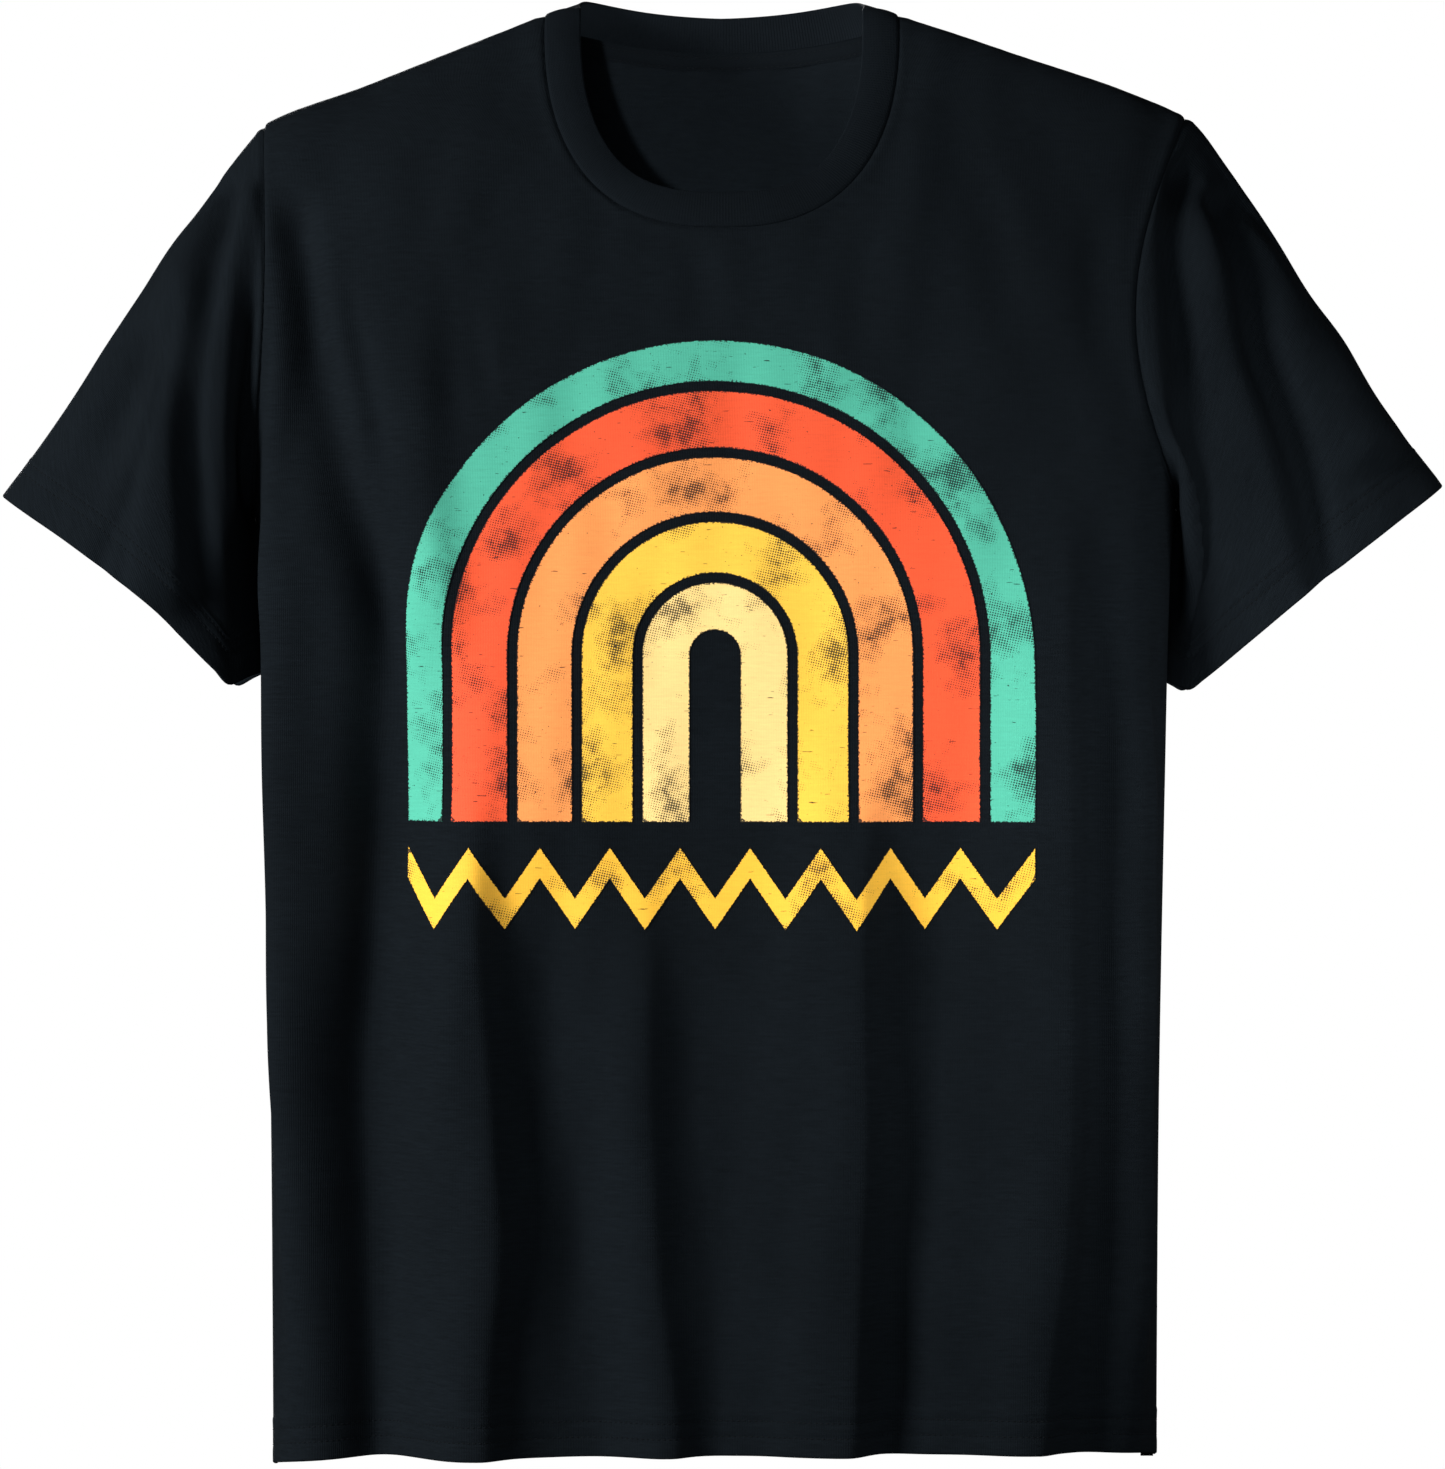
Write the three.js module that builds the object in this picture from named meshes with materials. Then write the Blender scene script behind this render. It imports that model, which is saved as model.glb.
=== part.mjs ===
// A short-sleeved crew-neck T-shirt in the shape it takes when worn, held up at its shoulders.
//
// Millimetres, +Z up. The front of the shirt faces -Y, and left and right are those of a person
// who looks at the front, so +X is to the right. The origin is midway between the two points
// where a shoulder seam meets the collar, at their height and on the shoulder seams' plane.
// Every piece of cloth is a thin closed shell, and a sewn pair keeps a small gap at its seam.

import * as THREE from "three";

// Cloth and clearances
const SEAM_GAP = 0.3;
const CLOTH = 1.6;
const RIB_CLOTH = 2.2;
const TURN_UP_CLOTH = 1.2;
const INK_FILM = 0.4;

// The worn body form, as horizontal sections from the collar down to the hem. Each section is a
// superellipse: height, half width, and how far the front and the back stand off the seam plane.
const SECTION_POWER = 3.2;
const SECTIONS = [
  { height: 9, half: 63, front: 11, back: 44 },
  { height: -3, half: 93, front: 15, back: 49 },
  { height: -16, half: 125.5, front: 20, back: 55 },
  { height: -40, half: 185.5, front: 29, back: 64 },
  { height: -61.4, half: 239, front: 39, back: 70 },
  { height: -80, half: 252, front: 48, back: 73 },
  { height: -119, half: 259, front: 65, back: 77 },
  { height: -180, half: 256, front: 77, back: 80 },
  { height: -240, half: 243, front: 84, back: 78 },
  { height: -300, half: 237.5, front: 86, back: 75 },
  { height: -400, half: 235, front: 84, back: 70 },
  { height: -600, half: 231.5, front: 79, back: 70 },
  { height: -770, half: 230.4, front: 76, back: 71 },
];
const WIDEST_HEIGHT = -119;
const LOWER_BODY_SHIFT = -3.5;
const SHIFT_TOP = -100;
const SHIFT_BOTTOM = -300;

// How much further out the right shoulder reaches than the left one
const RIGHT_SHOULDER = [
  { height: 9, extra: 0 },
  { height: -3, extra: 0 },
  { height: -14.7, extra: 5.8 },
  { height: -25, extra: 10 },
  { height: -33.5, extra: 14.7 },
  { height: -41, extra: 17.8 },
  { height: -48, extra: 15.5 },
  { height: -57, extra: 10.5 },
  { height: -75, extra: 0 },
  { height: -770, extra: 0 },
];

// Neckline, shoulder seams, armholes and hem
const NECK_HALF = 93;
const NECK_TOP = -3;
const NECK_DROP = { front: 116, back: 13.5 };
const NECK_POWER = { front: { across: 2.5, down: 2.5 }, back: { across: 2, down: 1.1 } };
const SHOULDER_END = { left: -61.4, right: -57 };
const ARMPIT = -262;
const ARMHOLE_INSET = { left: { front: 4, back: 9 }, right: { front: 28, back: 9 } };
const HEM = -758.5;
const HEM_TILT = 2.5 / 232;
const HEM_RISE = { front: 10, back: 4 };

// Trim
const RIB_WIDTH = 19;
const RIB_BULGE = 1.2;
const TAPE_HALF = 84;
const TAPE_TOP = 1;
const TAPE_WIDTH = 9;
const TAPE_GAP = 0.7;
const HEM_TURN_UP = 24;
const CUFF_TURN_UP = 0.1;

// How far the collar band leans outward from the line of the cloth below it, by the share of its
// neck edge from the nearer shoulder seam
const RIB_LEAN = {
  front: [
    { share: 0.5, degrees: 0 },
    { share: 0.2, degrees: 0 },
    { share: 0, degrees: -10 },
  ],
  back: [
    { share: 0.5, degrees: 0 },
    { share: 0.35, degrees: 8 },
    { share: 0.2, degrees: 18 },
    { share: 0.1, degrees: 8 },
    { share: 0, degrees: -10 },
  ],
};

// Sleeves. Seen from the front the cuff's edge runs from its inner end beside the body down to its
// lowest corner, and from there up to a bend and on to the outer corner.
const SLEEVES = {
  left: {
    outward: -1,
    cuff: [
      { inward: 1, x: -240.6, z: -346 },
      { inward: 0.96, x: -247.6, z: -349.5 },
      { inward: 0.92, x: -255.9, z: -353.7 },
      { inward: 0.86, x: -263.4, z: -345.8 },
      { inward: 0.68, x: -286, z: -322.4 },
      { inward: 0.42, x: -318.6, z: -294.6 },
      { inward: 0, x: -376, z: -255 },
    ],
    halfDepth: 48,
  },
  right: {
    outward: 1,
    cuff: [
      { inward: 1, x: 233.6, z: -350.5 },
      { inward: 0.96, x: 238, z: -353.8 },
      { inward: 0.92, x: 242.7, z: -356.3 },
      { inward: 0.86, x: 250.3, z: -351.1 },
      { inward: 0.68, x: 275, z: -330.4 },
      { inward: 0.42, x: 312.3, z: -299.4 },
      { inward: 0, x: 377, z: -250 },
    ],
    halfDepth: 38,
  },
};
const ARMPIT_FOLD = THREE.MathUtils.degToRad(177);
const CAP_REACH = 80;
const TOP_LINE = { slope: THREE.MathUtils.degToRad(52), reach: 240 };
const UNDER_LINE = { slope: THREE.MathUtils.degToRad(90), reach: 80 };

// Print: five nested arches over a zigzag band
const PRINT_CENTRE = -3.3;
const ARCH_SPRING = -339;
const ARCH_FOOT = -424;
const ARCHES = [
  { name: "print_arch_teal", colour: 0x4db398, outer: 161, inner: 140 },
  { name: "print_arch_red", colour: 0xf0552d, outer: 135, inner: 106 },
  { name: "print_arch_orange", colour: 0xfa9a52, outer: 101, inner: 73 },
  { name: "print_arch_yellow", colour: 0xffc844, outer: 68, inner: 42 },
  { name: "print_arch_cream", colour: 0xffd98a, outer: 37, inner: 13 },
];
const ZIGZAG_MIDDLE = -458;
const ZIGZAG_HALF_LENGTH = 161;
const ZIGZAG_TEETH = 9;
const ZIGZAG_SWING = 13;
const ZIGZAG_HALF_WIDTH = 8;
const ZIGZAG_COLOUR = 0xffc23a;

// How finely each piece is divided
const ARMHOLE_CELLS = 11;
const SHOULDER_CELLS = 6;
const NECK_CELLS = 12;
const BODY_ROWS = 20;
const SLEEVE_ROWS = 10;
const RIB_ROWS = 3;
const ARCH_LEG_CELLS = 6;
const ARCH_TURN_CELLS = 22;
const TOOTH_CELLS = 6;
const ROW_CROWDING = 1.35;
const TRACE_STEPS = 240;

const BLACK_JERSEY = new THREE.MeshStandardMaterial({ color: 0x1a2024, roughness: 0.92, metalness: 0 });
const BLACK_RIB = new THREE.MeshStandardMaterial({ color: 0x171c20, roughness: 0.94, metalness: 0 });

// Smooth curve through (height, value) stations that never overshoots between two of them
function throughStations(heights, values) {
  const slopes = heights.map((_, i) => {
    const before = i > 0 ? (values[i] - values[i - 1]) / (heights[i] - heights[i - 1]) : null;
    const last = i === heights.length - 1;
    const after = last ? null : (values[i + 1] - values[i]) / (heights[i + 1] - heights[i]);
    if (before === null) return after;
    if (after === null) return before;
    return before * after > 0 ? (2 * before * after) / (before + after) : 0;
  });
  return (height) => {
    let i = heights.findIndex((h) => height > h);
    i = i < 0 ? heights.length - 1 : Math.max(i, 1);
    const span = heights[i] - heights[i - 1];
    const t = THREE.MathUtils.clamp((height - heights[i - 1]) / span, 0, 1);
    const rise = t * t * (3 - 2 * t);
    const leave = t * (1 - t) * (1 - t) * slopes[i - 1] * span;
    const arrive = -t * t * (1 - t) * slopes[i] * span;
    return values[i - 1] + rise * (values[i] - values[i - 1]) + leave + arrive;
  };
}

const sectionHeights = SECTIONS.map((s) => s.height);
const evenHalfWidth = throughStations(sectionHeights, SECTIONS.map((s) => s.half));
const rightExtra = throughStations(RIGHT_SHOULDER.map((s) => s.height), RIGHT_SHOULDER.map((s) => s.extra));
const depthOf = {
  front: throughStations(sectionHeights, SECTIONS.map((s) => s.front)),
  back: throughStations(sectionHeights, SECTIONS.map((s) => s.back)),
};
const ribLean = {
  front: throughStations(RIB_LEAN.front.map((s) => s.share), RIB_LEAN.front.map((s) => s.degrees)),
  back: throughStations(RIB_LEAN.back.map((s) => s.share), RIB_LEAN.back.map((s) => s.degrees)),
};
const facing = { front: -1, back: 1 };

function halfWidth(height) {
  return evenHalfWidth(height) + rightExtra(height) / 2;
}

// Sideways place of the middle that the cloth's upright lines spread from
function lineMiddle(height) {
  return LOWER_BODY_SHIFT * THREE.MathUtils.smoothstep(-height, -SHIFT_TOP, -SHIFT_BOTTOM);
}

// Sideways place of a section's middle
function middleAt(height) {
  return lineMiddle(height) + rightExtra(height) / 2;
}

// Sideways place of a section's end
function sideAt(height, outward) {
  return middleAt(height) + outward * halfWidth(height);
}

// Half width that the cloth's upright lines spread over: it stays at its widest above the armpit
function spreadAt(height) {
  return halfWidth(Math.min(height, WIDEST_HEIGHT));
}

// Depth share of a superellipse at a share of its half width
function arc(share, power) {
  return (1 - Math.min(1, Math.abs(share)) ** power) ** (1 / power);
}

// Point of the outer surface at a place across and a height
function bodyPoint(x, z, face) {
  const y = depthOf[face](z) * arc((x - middleAt(z)) / halfWidth(z), SECTION_POWER);
  return new THREE.Vector3(x, facing[face] * Math.max(y, SEAM_GAP / 2), z);
}

// Outward normal of the outer surface there
function bodyNormal(point, face) {
  const step = 0.5;
  const across = point.x - middleAt(point.z);
  const half = halfWidth(point.z);
  const depth = depthOf[face](point.z);
  const away = Math.abs(point.y) <= SEAM_GAP / 2 ? 0 : Math.abs(point.y) / depth;
  const share = Math.min(1, Math.abs(across) / half);
  const slopeOf = (curve) => (curve(point.z + step) - curve(point.z - step)) / (2 * step);
  const sideways = (Math.sign(across) * share ** (SECTION_POWER - 1)) / half;
  const narrowing = (share ** SECTION_POWER * slopeOf(halfWidth)) / half;
  const thinning = (away ** SECTION_POWER * slopeOf(depthOf[face])) / depth;
  return new THREE.Vector3(
    sideways,
    (facing[face] * away ** (SECTION_POWER - 1)) / depth,
    -narrowing - thinning - sideways * slopeOf(middleAt),
  ).normalize();
}

// Points along a curve given by a function of 0 to 1, evenly spaced or crowded toward its start
function evenly(curve, cells, crowding = 1) {
  const trace = [];
  for (let i = 0; i <= TRACE_STEPS; i += 1) {
    const t = 0.5 - 0.5 * Math.cos((Math.PI * i) / TRACE_STEPS);
    trace.push(curve(t));
  }
  const lengths = [0];
  for (let i = 1; i < trace.length; i += 1) {
    lengths.push(lengths[i - 1] + trace[i].distanceTo(trace[i - 1]));
  }
  const total = lengths[lengths.length - 1];
  const points = [];
  for (let cell = 0; cell <= cells; cell += 1) {
    const wanted = total * (cell / cells) ** crowding;
    let i = lengths.findIndex((length) => length >= wanted - 1e-9);
    i = Math.max(i, 1);
    const share = (wanted - lengths[i - 1]) / (lengths[i] - lengths[i - 1]);
    points.push(trace[i - 1].clone().lerp(trace[i], share));
  }
  return points;
}

// One armhole edge of a panel, from the shoulder's end down to the armpit
function armholeEdge(side, face) {
  const outward = SLEEVES[side].outward;
  const inset = ARMHOLE_INSET[side][face];
  const top = outward * sideAt(SHOULDER_END[side], outward);
  const bottom = halfWidth(ARMPIT);
  return evenly((t) => {
    const z = THREE.MathUtils.lerp(SHOULDER_END[side], ARMPIT, t);
    const straight = THREE.MathUtils.lerp(top, bottom, t) - inset * Math.sin(Math.PI * t);
    return bodyPoint(lineMiddle(z) + outward * straight, z, face);
  }, ARMHOLE_CELLS);
}

// One shoulder seam of a panel, from the collar out to the shoulder's end
function shoulderEdge(side, face) {
  return evenly((t) => {
    const z = THREE.MathUtils.lerp(NECK_TOP, SHOULDER_END[side], t);
    return bodyPoint(sideAt(z, SLEEVES[side].outward), z, face);
  }, SHOULDER_CELLS);
}

// The neckline of a panel, from left to right
function neckEdge(face) {
  const { across, down } = NECK_POWER[face];
  return evenly((t) => {
    const angle = Math.PI * (1 - t);
    const x = NECK_HALF * Math.sign(Math.cos(angle)) * Math.abs(Math.cos(angle)) ** (2 / across);
    const z = NECK_TOP - NECK_DROP[face] * Math.abs(Math.sin(angle)) ** (2 / down);
    return bodyPoint(x, z, face);
  }, NECK_CELLS);
}

// The whole upper edge of a panel, from the left armpit over the collar to the right armpit
function upperEdge(face) {
  const left = [...armholeEdge("left", face).reverse(), ...shoulderEdge("left", face).reverse().slice(1)];
  const right = [...shoulderEdge("right", face).slice(1), ...armholeEdge("right", face).slice(1)];
  return [...left, ...neckEdge(face).slice(1), ...right];
}

function hemHeight(x, z, face) {
  const share = arc((x - middleAt(z)) / halfWidth(z), SECTION_POWER);
  return HEM + HEM_TILT * x + HEM_RISE[face] * share;
}

// The hem of a panel, from left to right
function hemEdge(face, cells) {
  return evenly((t) => {
    const angle = Math.PI * (1 - t);
    const share = 2 / SECTION_POWER;
    const reach = Math.sign(Math.cos(angle)) * Math.abs(Math.cos(angle)) ** share;
    const x = middleAt(HEM) + halfWidth(HEM) * reach;
    return bodyPoint(x, hemHeight(x, HEM, face), face);
  }, cells);
}

// Rows of points down a panel. Each upright line runs from the upper edge to the hem.
function panelRows(face) {
  const upper = upperEdge(face);
  const lower = hemEdge(face, upper.length - 1);
  const lines = upper.map((top, i) => {
    const foot = lower[i];
    const topShare = (top.x - lineMiddle(top.z)) / spreadAt(top.z);
    const footShare = (foot.x - lineMiddle(foot.z)) / spreadAt(foot.z);
    return evenly((t) => {
      const z = THREE.MathUtils.lerp(top.z, foot.z, t);
      const share = THREE.MathUtils.lerp(topShare, footShare, t);
      return bodyPoint(lineMiddle(z) + share * spreadAt(z), z, face);
    }, BODY_ROWS, ROW_CROWDING);
  });
  return Array.from({ length: BODY_ROWS + 1 }, (_, row) => lines.map((line) => line[row]));
}

// Every point of a grid moved along its normal
function shifted(rows, normals, distance) {
  return rows.map((row, j) => row.map((point, i) => point.clone().addScaledVector(normals[j][i], distance)));
}

// Closed shell between two grids of points. A looped grid closes on itself across its columns.
// Each cell is split along its shorter diagonal, so pieces that share an edge are split alike.
function shellGeometry(outer, inner, looped) {
  const rowCount = outer.length;
  const columnCount = outer[0].length;
  const points = [...outer.flat(), ...inner.flat()];
  const outerAt = (row, column) => row * columnCount + (column % columnCount);
  const innerAt = (row, column) => rowCount * columnCount + outerAt(row, column);
  const faces = [];
  const quad = (a, b, c, d) => {
    const firstIsShorter = points[a].distanceTo(points[c]) < points[b].distanceTo(points[d]);
    faces.push(...(firstIsShorter ? [a, b, c, a, c, d] : [a, b, d, b, c, d]));
  };
  const columnCells = looped ? columnCount : columnCount - 1;
  for (let j = 0; j < rowCount - 1; j += 1) {
    for (let i = 0; i < columnCells; i += 1) {
      quad(outerAt(j, i), outerAt(j, i + 1), outerAt(j + 1, i + 1), outerAt(j + 1, i));
      quad(innerAt(j, i), innerAt(j + 1, i), innerAt(j + 1, i + 1), innerAt(j, i + 1));
    }
    if (!looped) {
      const last = columnCount - 1;
      quad(outerAt(j, 0), outerAt(j + 1, 0), innerAt(j + 1, 0), innerAt(j, 0));
      quad(outerAt(j, last), innerAt(j, last), innerAt(j + 1, last), outerAt(j + 1, last));
    }
  }
  const bottom = rowCount - 1;
  for (let i = 0; i < columnCells; i += 1) {
    quad(outerAt(0, i), innerAt(0, i), innerAt(0, i + 1), outerAt(0, i + 1));
    quad(outerAt(bottom, i), outerAt(bottom, i + 1), innerAt(bottom, i + 1), innerAt(bottom, i));
  }
  const positions = points.flatMap((point) => [point.x, point.y, point.z]);
  const geometry = new THREE.BufferGeometry();
  geometry.setAttribute("position", new THREE.Float32BufferAttribute(positions, 3));
  geometry.setIndex(signedVolume(positions, faces) < 0 ? faces.reverse() : faces);
  geometry.computeVertexNormals();
  return geometry;
}

function signedVolume(positions, faces) {
  const corner = (index) => new THREE.Vector3().fromArray(positions, 3 * index);
  let volume = 0;
  for (let f = 0; f < faces.length; f += 3) {
    const [a, b, c] = [corner(faces[f]), corner(faces[f + 1]), corner(faces[f + 2])];
    volume += a.dot(b.cross(c)) / 6;
  }
  return volume;
}

function named(name, geometry, material) {
  const mesh = new THREE.Mesh(geometry, material);
  mesh.name = name;
  return mesh;
}

function panel(face) {
  const outer = panelRows(face);
  const normals = outer.map((row) => row.map((point) => bodyNormal(point, face)));
  return named(`${face}_panel`, shellGeometry(outer, shifted(outer, normals, -CLOTH), false), BLACK_JERSEY);
}

// Loop of edge points round an opening. Each has the cloth's normal and the direction, in the
// cloth's own surface and square to the edge, that points into the opening.
function openingLoop(points, normals, inside) {
  return points.map((point, i) => {
    const next = points[(i + 1) % points.length];
    const before = points[(i + points.length - 1) % points.length];
    const along = next.clone().sub(before).normalize();
    const normal = normals[i];
    const into = along.clone().cross(normal).normalize();
    if (into.dot(inside.clone().sub(point)) < 0) into.negate();
    return { point, normal, into };
  });
}

// Front and back edges joined to a loop, their two shared ends on the seam plane
function joinedLoop(frontEdge, backEdge, inside) {
  const onSeam = (point) => new THREE.Vector3(point.x, 0, point.z);
  const last = frontEdge.length - 1;
  const front = frontEdge.map((point, i) => (i === 0 || i === last ? onSeam(point) : point));
  const back = backEdge.slice(1, -1).reverse();
  const normals = [
    ...frontEdge.map((point) => bodyNormal(point, "front")),
    ...back.map((point) => bodyNormal(point, "back")),
  ];
  return openingLoop([...front, ...back], normals, inside);
}

function armholeLoop(side) {
  const across = sideAt(SHOULDER_END[side], SLEEVES[side].outward);
  const middle = new THREE.Vector3(across, 0, (SHOULDER_END[side] + ARMPIT) / 2);
  return joinedLoop(armholeEdge(side, "front"), armholeEdge(side, "back"), middle);
}

// One lengthwise line of a sleeve, from the armhole seam to the cuff
function sleeveLine(side, edge, down) {
  const { outward, cuff, halfDepth } = SLEEVES[side];
  const cuffAt = (axis) => throughStations(cuff.map((stop) => stop.inward), cuff.map((stop) => stop[axis]));
  const fold = ARMPIT_FOLD * down ** 2;
  const leave = edge.into.clone().multiplyScalar(Math.cos(fold)).addScaledVector(edge.normal, Math.sin(fold));
  const start = edge.point
    .clone()
    .addScaledVector(edge.into, SEAM_GAP * Math.cos(fold / 2))
    .addScaledVector(edge.normal, SEAM_GAP * Math.sin(fold / 2));
  const turn = Math.PI * down;
  const inward = (1 - Math.cos(turn)) / 2;
  const depth = Math.sign(edge.point.y) * halfDepth * Math.sin(turn);
  const end = new THREE.Vector3(cuffAt("x")(inward), depth, cuffAt("z")(inward));
  const slope = THREE.MathUtils.lerp(TOP_LINE.slope, UNDER_LINE.slope, inward);
  const reach = THREE.MathUtils.lerp(TOP_LINE.reach, UNDER_LINE.reach, inward);
  const arrive = new THREE.Vector3(outward * Math.cos(slope), 0, -Math.sin(slope));
  return (t) => {
    const point = start.clone().multiplyScalar(2 * t ** 3 - 3 * t ** 2 + 1);
    point.addScaledVector(leave, CAP_REACH * (t ** 3 - 2 * t ** 2 + t));
    point.addScaledVector(end, 3 * t ** 2 - 2 * t ** 3);
    return point.addScaledVector(arrive, reach * (t ** 3 - t ** 2));
  };
}

// Outward normal of each point of a looped grid, from its neighbours
function loopNormals(rows) {
  return rows.map((row, j) => {
    const above = rows[Math.max(j - 1, 0)];
    const below = rows[Math.min(j + 1, rows.length - 1)];
    const middle = row.reduce((sum, point) => sum.add(point), new THREE.Vector3()).divideScalar(row.length);
    return row.map((point, i) => {
      const along = below[i].clone().sub(above[i]);
      const around = row[(i + 1) % row.length].clone().sub(row[(i + row.length - 1) % row.length]);
      const normal = along.cross(around).normalize();
      return normal.dot(point.clone().sub(middle)) < 0 ? normal.negate() : normal;
    });
  });
}

function sleeveLines(side) {
  const loop = armholeLoop(side);
  return loop.map((edge, i) => {
    const down = i <= ARMHOLE_CELLS ? i / ARMHOLE_CELLS : 2 - i / ARMHOLE_CELLS;
    return { edge, down, line: sleeveLine(side, edge, down) };
  });
}

function sleeve(side) {
  const lines = sleeveLines(side);
  const shares = Array.from({ length: SLEEVE_ROWS + 1 }, (_, row) => row / SLEEVE_ROWS);
  const outer = shares.map((share) => lines.map(({ line }) => line(share)));
  const normals = loopNormals(outer);
  normals[0] = lines.map(({ edge, down }) => {
    const fold = ARMPIT_FOLD * down ** 2;
    return edge.normal.clone().multiplyScalar(Math.cos(fold)).addScaledVector(edge.into, -Math.sin(fold));
  });
  return named(`${side}_sleeve`, shellGeometry(outer, shifted(outer, normals, -CLOTH), true), BLACK_JERSEY);
}

// Cloth turned up inside a sleeve's end
function cuffTurnUp(side) {
  const lines = sleeveLines(side);
  const shares = [1 - CUFF_TURN_UP, 1 - CUFF_TURN_UP / 2, 1];
  const wall = shares.map((share) => lines.map(({ line }) => line(share)));
  const normals = loopNormals(wall);
  const outer = shifted(wall, normals, -CLOTH - SEAM_GAP);
  const inner = shifted(outer, normals, -TURN_UP_CLOTH);
  return named(`${side}_cuff_turn_up`, shellGeometry(outer, inner, true), BLACK_JERSEY);
}

// Cloth turned up inside the hem, all round the body
function hemTurnUp() {
  const cells = upperEdge("front").length - 1;
  const front = hemEdge("front", cells).map((point) => ({ point, face: "front" }));
  const back = hemEdge("back", cells).slice(1, -1).reverse().map((point) => ({ point, face: "back" }));
  const ring = [...front, ...back];
  const rowAt = (rise) => ring.map(({ point, face }) => {
    const z = point.z + rise;
    const share = (point.x - middleAt(point.z)) / halfWidth(point.z);
    const wall = bodyPoint(middleAt(z) + share * halfWidth(z), z, face);
    const normal = bodyNormal(wall, face);
    const onSeam = Math.abs(wall.y) <= SEAM_GAP / 2;
    return { wall: onSeam ? wall.setY(0) : wall, normal };
  });
  const rows = [rowAt(HEM_TURN_UP), rowAt(0)];
  const normals = rows.map((row) => row.map(({ normal }) => normal));
  const outer = shifted(rows.map((row) => row.map(({ wall }) => wall)), normals, -CLOTH - SEAM_GAP);
  const inner = shifted(outer, normals, -TURN_UP_CLOTH);
  return named("bottom_hem_turn_up", shellGeometry(outer, inner, true), BLACK_JERSEY);
}

// A neck loop's edge point as the collar band's foot. Where the band leans in, its inner face
// would meet the panel, so its foot stands further off there.
function leaning({ point, normal, into }, i) {
  const face = i <= NECK_CELLS ? "front" : "back";
  const share = (i % NECK_CELLS) / NECK_CELLS;
  const lean = THREE.MathUtils.degToRad(ribLean[face](Math.min(share, 1 - share)));
  return {
    point,
    normal: normal.clone().multiplyScalar(Math.cos(lean)).addScaledVector(into, -Math.sin(lean)),
    into: into.clone().multiplyScalar(Math.cos(lean)).addScaledVector(normal, Math.sin(lean)),
    gap: SEAM_GAP + RIB_CLOTH * Math.max(0, -Math.sin(lean)),
  };
}

// Ribbed collar band that stands on the neck seam
function neckRib() {
  const loop = joinedLoop(neckEdge("front"), neckEdge("back"), new THREE.Vector3(0, 0, 0)).map(leaning);
  const shares = Array.from({ length: RIB_ROWS + 1 }, (_, row) => 1 - row / RIB_ROWS);
  const outer = shares.map((share) => loop.map(({ point, normal, into, gap }) => {
    const bulge = RIB_BULGE * 4 * share * (1 - share);
    return point.clone().addScaledVector(into, gap + RIB_WIDTH * share).addScaledVector(normal, bulge);
  }));
  const inner = outer.map((row) => row.map((point, i) => (
    point.clone().addScaledVector(loop[i].normal, -RIB_CLOTH)
  )));
  return named("neck_rib", shellGeometry(outer, inner, true), BLACK_RIB);
}

// Tape that covers the neck seam inside the back
function neckTape() {
  const edge = neckEdge("back").filter((point) => Math.abs(point.x) < TAPE_HALF);
  const wall = [TAPE_TOP, TAPE_TOP + TAPE_WIDTH].map((drop) => (
    edge.map((point) => bodyPoint(point.x, point.z - drop, "back"))
  ));
  const normals = wall.map((row) => row.map((point) => bodyNormal(point, "back")));
  const outer = shifted(wall, normals, -CLOTH - TAPE_GAP);
  const inner = shifted(outer, normals, -TURN_UP_CLOTH);
  return named("neck_tape", shellGeometry(outer, inner, false), BLACK_JERSEY);
}

// Ink film on the front, over a grid of (across, height) places
function inkFilm(name, places, colour) {
  const wall = places.map((row) => row.map(([x, z]) => bodyPoint(x, z, "front")));
  const normals = wall.map((row) => row.map((point) => bodyNormal(point, "front")));
  const inner = shifted(wall, normals, SEAM_GAP);
  const outer = shifted(inner, normals, INK_FILM);
  const material = new THREE.MeshStandardMaterial({ color: colour, roughness: 0.8, metalness: 0 });
  return named(name, shellGeometry(outer, inner, false), material);
}

// Outline of an arch: up the left leg, round the top and down the right leg
function archOutline(radius) {
  const legHeights = Array.from({ length: ARCH_LEG_CELLS }, (_, i) => (
    THREE.MathUtils.lerp(ARCH_FOOT, ARCH_SPRING, i / ARCH_LEG_CELLS)
  ));
  const turn = Array.from({ length: ARCH_TURN_CELLS + 1 }, (_, i) => {
    const angle = Math.PI * (1 - i / ARCH_TURN_CELLS);
    return [PRINT_CENTRE + radius * Math.cos(angle), ARCH_SPRING + radius * Math.sin(angle)];
  });
  const leftLeg = legHeights.map((z) => [PRINT_CENTRE - radius, z]);
  const rightLeg = legHeights.map((z) => [PRINT_CENTRE + radius, z]).reverse();
  return [...leftLeg, ...turn, ...rightLeg];
}

function printedArch({ name, colour, outer, inner }) {
  return inkFilm(name, [outer, (outer + inner) / 2, inner].map(archOutline), colour);
}

function printedZigzag() {
  const cells = ZIGZAG_TEETH * TOOTH_CELLS;
  const row = (edge) => Array.from({ length: cells + 1 }, (_, i) => {
    const x = PRINT_CENTRE + ZIGZAG_HALF_LENGTH * ((2 * i) / cells - 1);
    const phase = Math.abs(((i / TOOTH_CELLS) % 1) * 2 - 1);
    return [x, ZIGZAG_MIDDLE + ZIGZAG_SWING * (2 * phase - 1) + edge];
  });
  return inkFilm("print_zigzag", [row(ZIGZAG_HALF_WIDTH), row(-ZIGZAG_HALF_WIDTH)], ZIGZAG_COLOUR);
}

const shirt = new THREE.Group();
shirt.add(panel("front"), panel("back"), sleeve("left"), sleeve("right"), neckRib(), neckTape());
shirt.add(hemTurnUp(), cuffTurnUp("left"), cuffTurnUp("right"));
shirt.add(...ARCHES.map(printedArch), printedZigzag());

export default shirt;
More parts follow.
